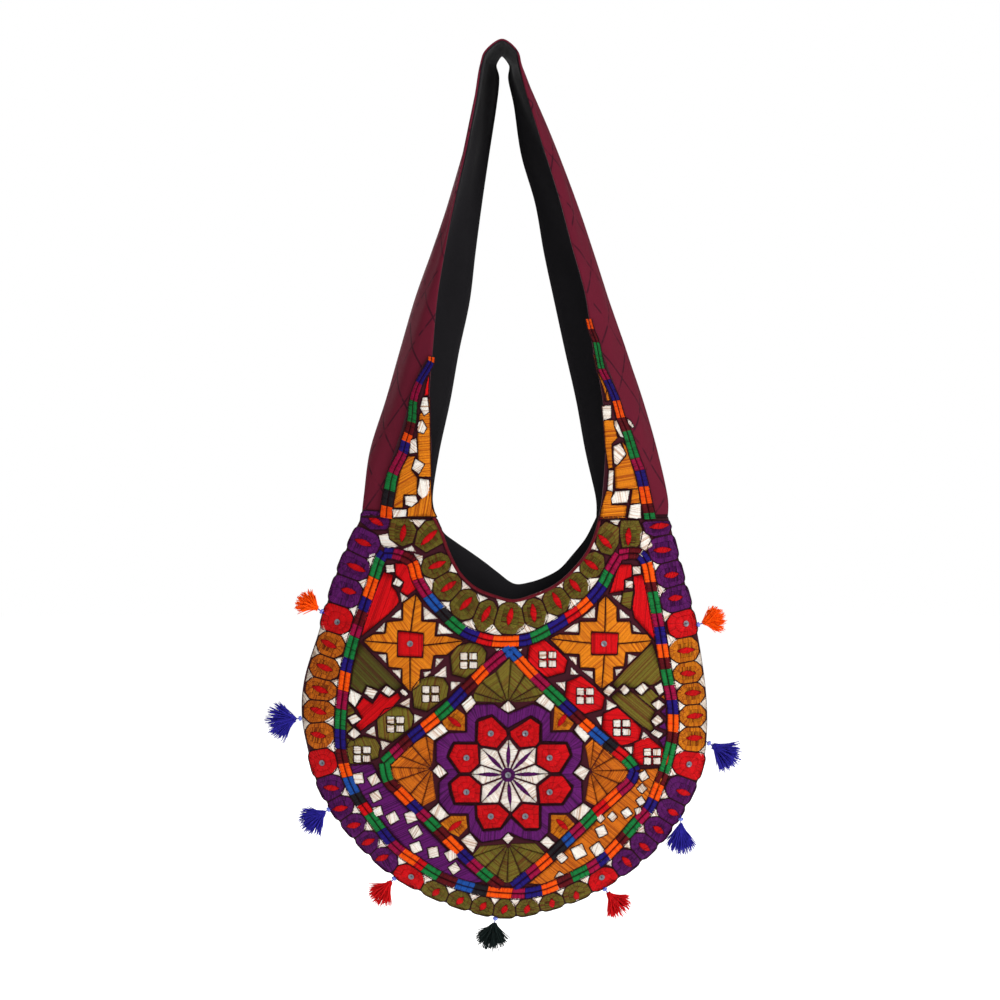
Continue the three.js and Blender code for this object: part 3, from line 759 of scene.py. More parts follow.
# Ribbons of colour run round the front and along the scoop, and four more cross the middle in a
# diamond. Each is two rows of short satin stitches side by side, in blocks of one colour after
# another. A row gives a place on the chart and the colour of the stretch that ends there.
ribbon_width = 11.4
outer_rows = [
    (-124, 222, "navy"), (-128, 216, "navy"), (-134, 197.5, "green"), (-141, 177, "orange"),
    (-145.5, 164, "navy"), (-150, 150, "maroon"), (-154, 138, "magenta"), (-159.5, 117, "green"),
    (-162.5, 103.5, "navy"), (-165, 84, "orange"), (-167, 66, "magenta"), (-168, 46, "green"),
    (-167.3, 26, "navy"), (-164.5, 11.5, "maroon"), (-160.5, -2, "orange"), (-153, -18.5, "royal"),
    (-146.5, -29, "black"), (-139, -39, "red"), (-127, -55, "green"), (-117, -67.5, "navy"),
    (-106, -77.5, "magenta"), (-91.5, -87, "orange"), (-84, -92.5, "red"), (-69, -101.5, "green"),
    (-52, -108.5, "maroon"), (-34.5, -113.5, "royal"), (-20.5, -116.5, "black"),
    (4, -118.5, "orange"), (17, -118.5, "magenta"), (33.5, -115.5, "navy"), (50, -109.5, "orange"),
    (64, -102.5, "maroon"), (80, -94.5, "green"), (90, -88, "magenta"), (99.5, -80, "navy"),
    (111, -68, "orange"), (118, -60, "maroon"), (130, -46, "green"), (139.5, -35.5, "magenta"),
    (145.5, -24.5, "navy"), (151.5, -9, "orange"), (156, 2.5, "maroon"), (163.5, 32, "green"),
    (165, 43, "maroon"), (165.2, 61, "orange"), (163.8, 75, "navy"), (161, 90, "magenta"),
    (157.8, 106, "green"), (156, 117, "maroon"), (153.8, 131, "orange"), (151, 148.5, "navy"),
    (148.5, 161.5, "magenta"), (144.5, 183.5, "green"), (142.5, 193, "maroon"),
    (138.5, 212, "orange"), (132, 220.5, "navy"), (121, 221.5, "maroon"), (111, 220, "magenta"),
]
scoop_rows = [
    (-124, 222, "navy"), (-115, 221.5, "navy"), (-106, 219, "magenta"), (-96, 213, "maroon"),
    (-90.5, 196, "orange"), (-80.5, 179.5, "magenta"), (-68, 165, "royal"), (-59, 155.5, "black"),
    (-45.5, 144.5, "green"), (-30, 137.5, "navy"), (-15.5, 134, "red"), (11, 134, "orange"),
    (23, 136.5, "navy"), (41, 145.5, "green"), (58, 156, "navy"), (70.5, 164.5, "red"),
    (82, 174.5, "orange"), (94.5, 190, "navy"), (101, 203, "green"), (111, 220, "magenta"),
]
crossing_rows = [
    [
        (3, 126, "royal"), (-4, 121, "royal"), (-22, 106, "magenta"), (-33.5, 94, "orange"),
        (-44, 84, "maroon"), (-57.5, 70, "navy"), (-71, 58, "green"), (-85, 46.5, "orange"),
        (-98, 36, "navy"), (-107, 28, "maroon"), (-116, 19.5, "magenta"), (-124, 12, "green"),
    ],
    [
        (-124, 12, "green"), (-119.5, -6, "green"), (-110.5, -15, "maroon"), (-98, -27.5, "orange"),
        (-89, -36.5, "navy"), (-80.5, -44.5, "magenta"), (-71, -54, "green"),
        (-61.5, -63.5, "maroon"), (-48, -77, "orange"), (-38, -86.5, "navy"),
        (-28, -95.5, "magenta"), (-17.5, -104, "green"), (-6, -112, "maroon"),
    ],
    [
        (1, 126, "royal"), (10, 116.5, "royal"), (26, 99, "orange"), (38.5, 87, "magenta"),
        (54.5, 72, "green"), (65.5, 61.5, "navy"), (74, 53.5, "maroon"), (83.5, 45, "orange"),
        (97.5, 33, "royal"), (107, 25, "black"), (117, 17, "red"), (125, 8, "green"),
        (127, 4, "navy"),
    ],
    [
        (127, 4, "navy"), (122.5, -6, "navy"), (111, -17, "magenta"), (99, -28, "orange"),
        (87, -38.5, "red"), (75, -50.5, "green"), (64.5, -60.5, "magenta"), (56, -68.5, "royal"),
        (42, -82, "black"), (30, -92.5, "orange"), (20, -100.5, "magenta"), (5, -112.5, "navy"),
    ],
]


def ribbon(rows, depth=front_depth, widths=(1.0, 1.0)):
    """Lays both rows of stitches of a ribbon through its charted places, each given with the shade
    of the stretch that ends there, and returns its middle line on the cloth."""
    steps = 8
    line = smooth_line(plan([row[:2] for row in rows], depth), steps)
    total = distances(line)
    colours = np.array([row[2] for row in rows])
    far = np.arange(thread_pitch / 2, total[-1], thread_pitch * 0.9)
    before, here, after = (
        colours[np.clip(np.searchsorted(total[::steps], far + step), 0, len(colours) - 1)]
        for step in (-0.3, 0, 0.3)
    )
    held = (before == here) & (here == after)
    far, names = far[held], list(here[held])
    middle = walk(line, far)
    half = ribbon_width / 2 * np.interp(far, (0, total[-1]), widths)[:, None]
    out = leftward(line, far)
    for side in (-1, 1):
        wander = draw.uniform(-0.35, 0.35, (2, len(far)))[..., None]
        slant = walk(line, far + 0.7 * side) - middle
        start = middle + side * out * (0.3 + 0.4 * np.abs(wander[0]))
        end = middle + slant + side * out * (half + wander[1])
        lay(start, end, names, 1)
        edge_cord((middle + side * out * (half + 0.5))[::6], 1, 0.9)
    return line


outer_line = ribbon(outer_rows)
scoop_line = ribbon(scoop_rows)
for rows in crossing_rows:
    ribbon(rows)
sew("ribbons", stations=(0, 0.25, 0.75, 1))

# A ring of rounded cells runs round the bag's edge, and a ring of olive ones round the scoop of the
# mouth. Each holds a red leaf with its own slope, and six plain red cells hold a sequin. A row
# gives the leaf's middle on the chart, the cell's colour, and the leaf's slope and half length.
outer_cells = [
    (-145, 232.5, "purple", -20, 9.5),
    (-152, 207.5, "purple", -22, 11), (-159.5, 184, "purple", -13, 8.5),
    (-171, 156.5, "red", 0, 0), (-179.5, 131, "tawny", -25, 9.5),
    (-183.5, 107.5, "tawny", -20, 9.5), (-188, 85.5, "tawny", -20, 9.5),
    (-190, 64, "tawny", -18, 9.5), (-190, 40, "tawny", -10, 8.5), (-185.5, 13.5, "red", 0, 0),
    (-177, -13, "purple", -2, 8.5), (-168, -33.5, "purple", 13, 8.5),
    (-154.5, -50.5, "purple", 15, 8), (-140, -67, "purple", 26, 8),
    (-126, -83, "purple", 25, 8), (-99.7, -102.5, "red", 0, 0), (-72, -117.5, "olive", 48, 5.5),
    (-48, -126, "olive", 50, 5.5), (-25, -131.5, "olive", 58, 5.5),
    (-3.5, -134.5, "olive", 65, 5.5), (19, -134.5, "olive", 73, 5.5),
    (44, -128.5, "olive", 95, 5.5), (68.5, -121, "olive", 102, 5.5), (95.5, -104, "red", 0, 0),
    (119, -87, "purple", -48, 8), (136.5, -72, "purple", -37, 7.5),
    (150.5, -55, "purple", -35, 7), (165, -37.5, "purple", -28, 7),
    (175.5, -17.5, "purple", -20, 8.5), (182.5, 8.5, "red", 0, 0), (186.5, 37, "amber", 0, 9),
    (187, 59, "amber", 5, 9), (185, 82, "amber", 2, 9), (180, 101.5, "amber", 0, 8.5),
    (178, 124.5, "amber", 5, 9.5), (173.5, 151, "red", 0, 0), (167.5, 177, "purple", 8, 8),
    (163.5, 200, "purple", 8, 8), (154.5, 225, "purple", 3, 10),
]
crown_cells = [
    (-132.5, 254, -29, 9.5, [(-148, 253), (-147, 261), (-144, 265), (-129, 264), (-119, 257.5),
                             (-117.5, 249.5), (-122, 245), (-138, 245)]),
    (151.5, 249, 8, 11, [(134, 252), (137.5, 254), (161, 254.5), (163.6, 248.4), (161, 240.5),
                         (146.5, 238), (137.5, 241.6)]),
]
scoop_cells = [
    (-71, 210, "olive", 22, 10), (-59.5, 188.5, "olive", 35, 10), (-42, 171.5, "olive", 47, 9.5),
    (-22, 161, "olive", 62, 10), (2, 158.5, "olive", 78, 9.5), (25.5, 162, "olive", 97, 10),
    (49, 174.5, "olive", 120, 10), (67, 189.5, "olive", 132, 9), (83, 210.5, "olive", 145, 9.5),
]
shoulder_cells = [
    (-105, 242, 80, 9.5, [(-117, 257), (-97, 257), (-91, 245), (-95, 232), (-106, 228), (-119, 236),
                          (-120, 246)]),
    (-79, 237.5, 43, 12, [(-83, 254), (-71, 256), (-66.5, 246), (-64, 232), (-82, 222),
                            (-94, 230), (-91, 244)]),
    (97, 233.5, 135, 10.5, [(89.5, 246), (98, 254), (112, 248), (111, 231), (104, 219), (93, 222),
                            (87.5, 231)]),
    (120.5, 238.5, 88, 9.5, [(113, 255), (131, 255), (135, 245), (132, 230), (124, 224),
                             (114, 227), (111, 243)]),
]
rim_whites = [
    [(-130, 239.5), (-118.5, 242), (-117.5, 236), (-109.5, 228.5), (-122, 226), (-129, 232.5)],
    [(-107, 225), (-96, 229.5), (-92, 223)], [(-100, 256), (-81, 255), (-89, 247.5)],
    [(141, 240), (132, 247), (131, 232), (134, 222), (146, 230)], [(128, 226), (137, 223), (134, 217)],
    [(101, 255), (113, 256), (109, 249)], [(86.5, 234), (91, 224), (82.5, 226)],
    [(-140, 221), (-129, 223.5), (-133.5, 212), (-139, 204)], [(-94, 221.5), (-85, 219), (-87, 202)],
]


sequin_names = ["sequin_centre"]
for group, count in (("cell", 8), ("edge", 6), ("star", 2)):
    sequin_names += [f"sequin_{group}_{k + 1}" for k in range(count)]
sequin_boxes = np.array([[list(corner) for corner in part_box(name)] for name in sequin_names])
sequins = sequin_boxes.mean(axis=1)[:, [0, 2]] / metre


def sequin_near(place):
    """The place of the sequin nearest to a place."""
    return sequins[np.linalg.norm(sequins - place, axis=1).argmin()]


def nearest_on(line, place):
    """How far along a line its nearest place is, and how far off that is."""
    gaps = np.linalg.norm(line - place, axis=1)
    return distances(line)[gaps.argmin()], gaps.min()


leaf_half_width = 3.4
ribbon_room = 0.4
cell_stretch = 4
corner_cut = 7.4
corner_share = 0.33
inner_corner = 7
rim_overlap = 1.4
round_share = 0.14


def leafed_cell(cell, middle, shade, slope, half):
    """A cell's stitches about its leaf, and over them the leaf itself, or a plain red cell's."""
    way = turning(slope)[0]
    burst(cell, middle, way, half * 0.8, shade, core=2.0 if half == 0 else 1.4)
    if half:
        satin(leaf(middle, way, half, leaf_half_width), slope + 62, "red", 1)


def cell_ring(cells, rim, bound, half_depth, inward, flush):
    """Lays a ring of cells between a rim line and the ribbon it runs along. A cell is an octagon in
    distances along the rim and in from it, with its corners rounded, and a flush one reaches
    squarely out to the rim. One with no leaf is worked round its sequin. White pieces fill the
    gaps between two cells."""
    rim = walk(rim, np.arange(0, distances(rim)[-1], 0.5))
    centres = plan([cell[:2] for cell in cells])
    for k, cell in enumerate(cells):
        if cell[4] == 0:
            centres[k] = sequin_near(centres[k])
    found = [nearest_on(rim, centre) for centre in centres]
    far = np.array([place for place, _ in found])
    mids = (far[1:] + far[:-1]) / 2
    starts = np.concatenate([[far[0] - (mids[0] - far[0])], mids])
    stops = np.concatenate([mids, [far[-1] + (far[-1] - mids[-1])]])

    def at(along, depth):
        """The points at distances along the rim and in from it."""
        return walk(rim, along) + inward * np.asarray(depth)[:, None] * leftward(rim, along)

    for k, (centre, (place, inset)) in enumerate(zip(centres, found)):
        shade, slope, half = cells[k][2:]
        gap_to_ribbon = nearest_on(bound, centre)[1] - ribbon_width / 2
        deep = min(inset + gap_to_ribbon - ribbon_room, inset + half_depth + cell_stretch)
        low, high = starts[k], stops[k]
        cut = min(corner_cut, corner_share * (high - low))
        to_rim = flush and shade not in ("amber", "tawny")
        near = -rim_overlap if to_rim else max(inset - half_depth, 1.2)
        rise = 3.0 if to_rim else 6.0
        run = 0.2 * (high - low) if to_rim else cut
        along = [low, low + run, high - run, high, high, high - cut, low + cut, low]
        end = deep - inner_corner
        depth = [near + rise, near, near, near + rise, end, deep, deep, end]
        cell = at(along, depth)
        following = np.roll(cell, -1, axis=0)
        most = 1 - round_share
        rounded = np.stack(
            [cell * most + following * round_share, cell * round_share + following * most], axis=1
        ).reshape(-1, 2)
        leafed_cell(rounded, centre, shade, slope, half)
        ring_cord(rounded, 0.8, 1.0)
        if k:
            lean = 90 * (k % 2) + 30
            inner = at([low - cut - 1.5, low, low + cut + 1.5], [deep + 3, deep - 9.5, deep + 3])
            satin(inner, lean, "white", 0, -0.4)
            if not to_rim:
                outer = at([low - cut, low, low + cut], [near - 1, near + rise + 1.5, near - 1])
                satin(outer, lean, "beige" if flush else "white")


cell_ring(outer_cells, outline, outer_line, 15.5, 1, True)
for right, up, slope, half, shape in crown_cells:
    leafed_cell(plan(shape), plan([(right, up)])[0], "purple", slope, half)
    ring_cord(plan(shape), 0.8, 1.0)
sew("edge_cells")
cell_ring(scoop_cells, front_mouth, scoop_line, 14.5, -1, False)
for right, up, slope, half, shape in shoulder_cells:
    leafed_cell(plan(shape), plan([(right, up)])[0], "olive", slope, half)
    ring_cord(plan(shape), 0.8, 1.0)
for k, shape in enumerate(rim_whites):
    satin(plan(shape), 70 * k, "white")
sew("scoop_cells")

# The medallion is a white flower of eight petals with a purple vein in each, in a ring of eight
# red cells, inside a broad purple band that follows them round.
petal_tips = [
    [(-2, 7), (-9.5, 24), (0.7, 36.5), (10, 24.5), (2.5, 7)],
    [(4, 7), (12.5, 25), (28, 28), (27, 11.5), (7, 4)],
    [(7, 2.5), (27, 10), (42, 1.3), (28, -9.5), (7, -2.5)],
    [(7, -4), (28, -10.5), (29, -28), (14.5, -27), (4, -7)],
    [(2.5, -7), (13, -26.5), (3, -38), (-8, -27), (-2.5, -7)],
    [(-4, -7), (-10, -28), (-27, -28), (-26, -11), (-7, -4)],
    [(-7, -2.5), (-25.5, -9.5), (-37.8, 0.8), (-27, 9.5), (-7, 2.5)],
    [(-7, 4), (-28, 10.5), (-27.5, 27.5), (-11, 24.5), (-4, 7)],
]
vein_reaches = [30.5, 33, 33, 32, 31, 31, 30, 30]
red_cells = [
    [(1.5, 43.5), (22.7, 57), (32, 50.5), (31.5, 33), (28, 28.5), (12, 27), (2.5, 38)],
    [(32, 31), (58.4, 31), (62.5, 20), (51.3, 2.3), (43, 2), (28.5, 10.5), (29, 28)],
    [(43, -0.6), (55.6, -0.6), (64, -13.6), (54, -28.6), (32, -29), (30, -11)],
    [(3.6, -39), (14.5, -28.5), (31.5, -30), (31.3, -53.6), (17, -53.8), (4, -41)],
    [(-31.5, -30), (-9.5, -29), (1.8, -39), (-7.3, -53), (-24.4, -54.5), (-31, -41)],
    [(-57.3, -8), (-48, -0.6), (-38.7, -0.4), (-27, -10.5), (-28, -28), (-53, -28), (-56.6, -15)],
    [(-59.4, 18.6), (-53.7, 31), (-30, 31), (-28.7, 11), (-38, 2), (-48, 2)],
    [(-31, 34), (-30, 53.5), (-16, 58.6), (-1.2, 44), (-0.5, 39), (-11, 26.5), (-27.5, 29)],
]
band_rows = [
    (-41.6, 60.7, -32, 53), (-33, 71, -29.5, 56), (-14.4, 71.4, -16, 60), (0.6, 61.4, -0.5, 46),
    (24.9, 71.4, 22.7, 59), (31.5, 69, 30, 55), (42.7, 62.5, 33.5, 51), (42.7, 43.2, 33.5, 33),
    (64, 43.6, 59, 32.5), (75.6, 33, 62, 26), (73.4, 13.6, 64, 20), (64.9, 1.4, 52.5, 1),
    (74, -6.4, 65, -11), (74.9, -27.9, 63.5, -17), (61.3, -38.6, 55, -30), (41.3, -38.6, 33, -30.5),
    (40.6, -57.9, 32.7, -53), (31.3, -67, 29, -55.2), (15.6, -64.3, 17, -55.4), (0, -57.9, 3, -42.5),
    (-8, -65, -7.3, -54.6), (-26, -67.9, -25, -56), (-38.7, -57, -32.5, -43), (-40, -39.3, -33, -30),
    (-59.4, -39.3, -54, -29.5), (-69.4, -27.9, -58.5, -16), (-69.4, -7.9, -59.5, -8),
    (-60, 1.4, -49, 1), (-72.3, 13.6, -61, 18), (-72.3, 33.6, -58.5, 25), (-59.4, 42.5, -54.5, 32.5),
    (-41.6, 43, -32.5, 32.5),
]
band = closed_line(np.array(band_rows))
for here, after in zip(band[:-1], band[1:]):
    fan(plan([here[:2], after[:2]]), plan([here[2:], after[2:]]), "purple", margin=0.3)
edge_cord(plan([row[:2] for row in band]), 0.8, 1.2)
edge_cord(plan([row[2:] for row in band]), 0.8, 1.2)
rightward = np.array([1.0, 0.0])
for cell in red_cells:
    shape = plan(cell)
    ring_cord(shape, 0.8, 1.1)
    burst(shape, sequin_near(shape.mean(axis=0)), rightward, 0.0, "red", core=2.4)
hub_middle = plan([(0, 0)])[0]
for petal, reach in zip(petal_tips, vein_reaches):
    shape = plan(petal)
    tip = shape[2] - hub_middle
    way = tip / np.linalg.norm(tip)
    foot = hub_middle + way * 6
    spine = np.array([foot, foot + tip - way * 6])
    fan(np.array([foot, spine[1]]), shape[[0, 1, 2]], "white", margin=0.35)
    fan(np.array([foot, spine[1]]), shape[[4, 3, 2]], "white", margin=0.35)
    vein = leaf(hub_middle + way * (reach + 7) / 2, way, (reach - 5) / 2, 2.3)
    satin(vein, math.degrees(math.atan2(way[1], way[0])) + 65, "purple", 1, 0.1)
turn = np.linspace(0, 2 * math.pi, 19)[:-1]
hub = plan(np.stack([7.8 * np.cos(turn), 7.8 * np.sin(turn)], axis=1))
burst(hub, hub_middle, rightward, 0.0, "purple", core=1.0)
sew("medallion")

# The diamond round the medallion is filled with four fans, four amber pieces with a red leaf, and
# white corners. A fan is worked as wedges from its point.
fan_points = {
    "north": ("olive", (-0.5, 72), [(-34, 73), (-34, 82), (-27, 93), (-12, 103), (3, 118),
                                  (19, 104), (32, 91), (38, 81), (36, 74)]),
    "south": ("olive", (0.5, -69), [(-27, -71), (-36, -82), (-24, -94), (-12, -104), (-1, -108),
                                  (14, -102), (27, -91), (38, -80), (26, -68)]),
    "west": ("tawny", (-76, 6.5), [(-74, 34), (-82, 38.5), (-97, 30), (-108, 19), (-120, 8),
                                 (-115, -7), (-100, -22), (-87, -32), (-72, -24)]),
    "east": ("tawny", (82, 4), [(77, 28), (86, 37), (97, 29), (108, 19), (123, 5), (114, -10),
                               (101, -22), (90, -32), (77, -25)]),
}
leaf_pieces = [
    ([(-66, 53.6), (-51, 66), (-43, 60), (-43, 44), (-63, 45)], (-53.5, 53), -36, 9),
    ([(46.3, 69), (66, 51.4), (61.3, 45), (45, 44.5)], (54.3, 55), 56, 8.5),
    ([(-69, -49), (-57.3, -41), (-42, -41), (-40.5, -53), (-49, -62), (-64, -55)], (-53, -51), 38, 9),
    ([(43, -40), (58.4, -40), (67, -49.3), (51.3, -64.5), (42.5, -58)], (54, -49.5), -42, 8.5),
]
white_corners = [
    [(-47.3, 70.7), (-36.6, 80), (-31.6, 72), (-41.6, 61.4)],
    [(-82.3, 40.7), (-67.3, 52), (-59.4, 43.6), (-73.7, 34.3)],
    [(27, 73.6), (35.6, 81.4), (47, 70.7), (42.7, 63)],
    [(65.6, 45), (69.9, 50.7), (82.7, 38.6), (77, 32)],
    [(-79.4, -36.4), (-69.4, -27.9), (-58.7, -40.7), (-68.7, -46.4)],
    [(-48, -65), (-38, -57.9), (-30, -67.9), (-35, -78.6)],
    [(61.3, -37.9), (75.6, -27.9), (83.4, -33.6), (71.3, -47)],
    [(31.3, -67), (39, -60.7), (47, -67.9), (40.6, -74.3)],
    [(-8, 67), (0, 75), (8, 66), (0.3, 61.8)],
    [(-6, -64), (0, -57.5), (6, -63), (0, -69.5)],
    [(-76, 4), (-69.5, 11.5), (-60.3, 2.2), (-68, -3.6)],
    [(65, 2), (72.7, 10), (82, 5), (75.6, -5.7)],
]
for shade, point, border in fan_points.values():
    point = plan([point])[0]
    border = plan(border)
    for first, second in zip(border[:-1], border[1:]):
        fan(np.array([point, first]), np.array([point, second]), shade, margin=0.4)
for border, centre, turned, half in leaf_pieces:
    shape = plan(border)
    centre = plan([centre])[0]
    way = turning(turned)[0]
    burst(shape, centre, way, half * 0.7, "amber")
    satin(leaf(centre, way, half, 3.0), turned + 60, "red", 1, 0.1)
for k, corner in enumerate(white_corners):
    ring_cord(plan(corner), 0.9, 1.0)
    satin(plan(corner), 40 + 97 * k, "white", 1, 0.4)
sew("diamond")


# Two amber stars stand above the diamond. Each has four pointed arms worked from their spines
# round a red square that holds a sequin, and white triangles fill their steps.
star_outlines = [
    [(-92, 181.5), (-86, 172), (-86.3, 154), (-71.3, 153.3), (-73, 139), (-62, 139.5), (-43, 134.2),
     (-61.3, 119.6), (-74, 119.2), (-76.3, 105.5), (-87.2, 105), (-88, 90), (-98, 82.5),
     (-106.3, 92), (-106.3, 106), (-120, 107.5), (-121.3, 121.5), (-135, 123.3), (-145.5, 134.2),
     (-135, 141), (-123, 141.7), (-121.3, 153.3), (-105.5, 155), (-105.5, 172)],
    [(97.8, 180), (109.2, 168), (109.2, 153.8), (122.6, 153.8), (124, 141.7), (139.3, 141),
     (144.7, 134.4), (134, 122.3), (118, 122.3), (116.5, 108.3), (105.8, 107.6), (105.8, 94.2),
     (93.8, 85.5), (86.4, 92.2), (86.4, 106.3), (71.7, 107), (71, 120.3), (56.3, 121), (41, 136.4),
     (51, 141), (71, 140.4), (71.7, 153.8), (88.4, 153.8), (90.4, 172)],
]
star_squares = [
    [(-110, 144.2), (-85, 141.5), (-85.5, 117.5), (-110.5, 118.5)],
    [(83.7, 143), (110, 141.7), (109.2, 120.3), (83.7, 120.3)],
]
star_whites = [
    [(-118.7, 157), (-106, 168), (-106, 155.7)], [(-134, 143), (-122.5, 154), (-123.2, 141.7)],
    [(-85.5, 170.4), (-85, 154.5), (-68.3, 155.7)], [(-70.2, 153.8), (-71.5, 139.8), (-53, 141)],
    [(-132, 121), (-120.7, 121.7), (-121.3, 110)], [(-118, 105.6), (-106, 106), (-107, 94.5)],
    [(-85.5, 103.4), (-74.7, 104.7), (-84.3, 94.5)], [(-72.8, 117.5), (-62.6, 116.8), (-73.4, 106)],
    [(-61.3, 111), (-60.7, 97), (-77.3, 97)], [(72.4, 156.5), (87.8, 170), (87.8, 156)],
    [(54.3, 143), (71, 154.5), (71.7, 141.7)], [(110.5, 168), (124, 156.5), (111.2, 155.8)],
    [(124, 152.5), (134.6, 141.7), (124.6, 143)], [(119.2, 122.3), (130, 119), (119.2, 108.5)],
    [(106, 106), (116.5, 107), (108, 97.5)], [(59, 119.6), (69.7, 118.3), (69, 107.6)],
    [(72.4, 105), (85.7, 104.2), (85.7, 94.2)], [(62.3, 109.6), (72.4, 99.6), (61.6, 99.6)],
]
for chart, square in zip(star_outlines, star_squares):
    border = closed_line(plan(chart))
    corners = plan(square)
    inner = [corners[k] for k in (1, 2, 3, 0)]
    middles = [(inner[k - 1] + inner[k]) / 2 for k in range(4)]
    for k in range(4):
        rim = border[6 * k : 6 * k + 7]
        start, stop = middles[k], middles[(k + 1) % 4]
        core = np.array([rim[0], start, inner[k], stop, rim[-1]])
        fan(core, rim, "amber", margin=0.3)
        edge_cord(core[:2], 0.6)
    edge_cord(border, 0.8, 1.1)
    ring_cord(corners, 1, 1.1)
    satin(corners, 90, "red", 1)
for k, corner in enumerate(star_whites):
    satin(plan(corner), 90 * k + 35, "white", 0, -1)
sew("stars")

# Four windows stand along each upper side of the diamond, olive on the left and red on the right,
# each with four white panes, and white triangles between them.
window_rows = [
    ("olive", -39.5, 114.3), ("olive", -77.5, 81), ("olive", -112.7, 50.6), ("olive", -146, 20.6),
    ("red", 39.5, 115.6), ("red", 77, 79), ("red", 113.7, 47.2), ("red", 144.2, 18.3),
]
window_shapes = {
    "olive": [(-18.5, 5), (-11, 15), (1.5, 18.5), (13.5, 16), (18.5, 8), (16.5, -3.5), (-3, -18),
              (-17, -14)],
    "red": [(-18.5, 14.5), (-4, 20.5), (11, 8.5), (20.5, -1), (17.5, -13.5), (-0.5, -18.5),
            (-12, -9), (-20.5, -1)],
}
field_bottom = 9.5
window_whites = [
    [(-15.5, 127.5), (-3, 127), (-10, 121)], [(-58, 94.2), (-45.5, 93.3), (-58, 81.7)],
    [(-111, 71), (-97, 78.5), (-98, 66)], [(-95, 62), (-84, 58), (-94.5, 50)],
    [(-144.5, 41.7), (-133, 51), (-131.3, 37)], [(-129, 36), (-116.3, 32), (-126, 23.3)],
    [(16, 127), (5, 126), (11, 120)], [(58, 94), (46, 93), (58, 82)],
    [(98, 76.7), (111, 69), (97.5, 63)], [(87, 58), (95.5, 60), (94, 46.5)],
    [(135, 45), (144.2, 36.7), (131.4, 33.3)], [(114.2, 28.3), (127, 29.4), (125.3, 17.8)],
]
pane = np.array([(-4, -3.7), (4, -3.7), (4, 3.7), (-4, 3.7)])
for k, (shade, right, up) in enumerate(window_rows):
    centre = np.array([right, up])
    shape = np.array(window_shapes[shade]) + centre
    shape[:, 1] = np.maximum(shape[:, 1], field_bottom)
    shape = plan(shape)
    satin(shape, 55 + 20 * k, shade)
    ring_cord(shape, 0.8, 1.1)
    for across in (-4.7, 4.7):
        for rise in (-4.4, 4.4):
            glass = plan(pane + centre + [across, rise])
            ring_cord(glass, 1, 1.0)
            satin(glass, 5 + 80 * (across > 0), "white", 1, 0.4)
for k, corner in enumerate(window_whites):
    satin(plan(corner), 90 * k + 30, "white", 0, -1)
sew("windows")

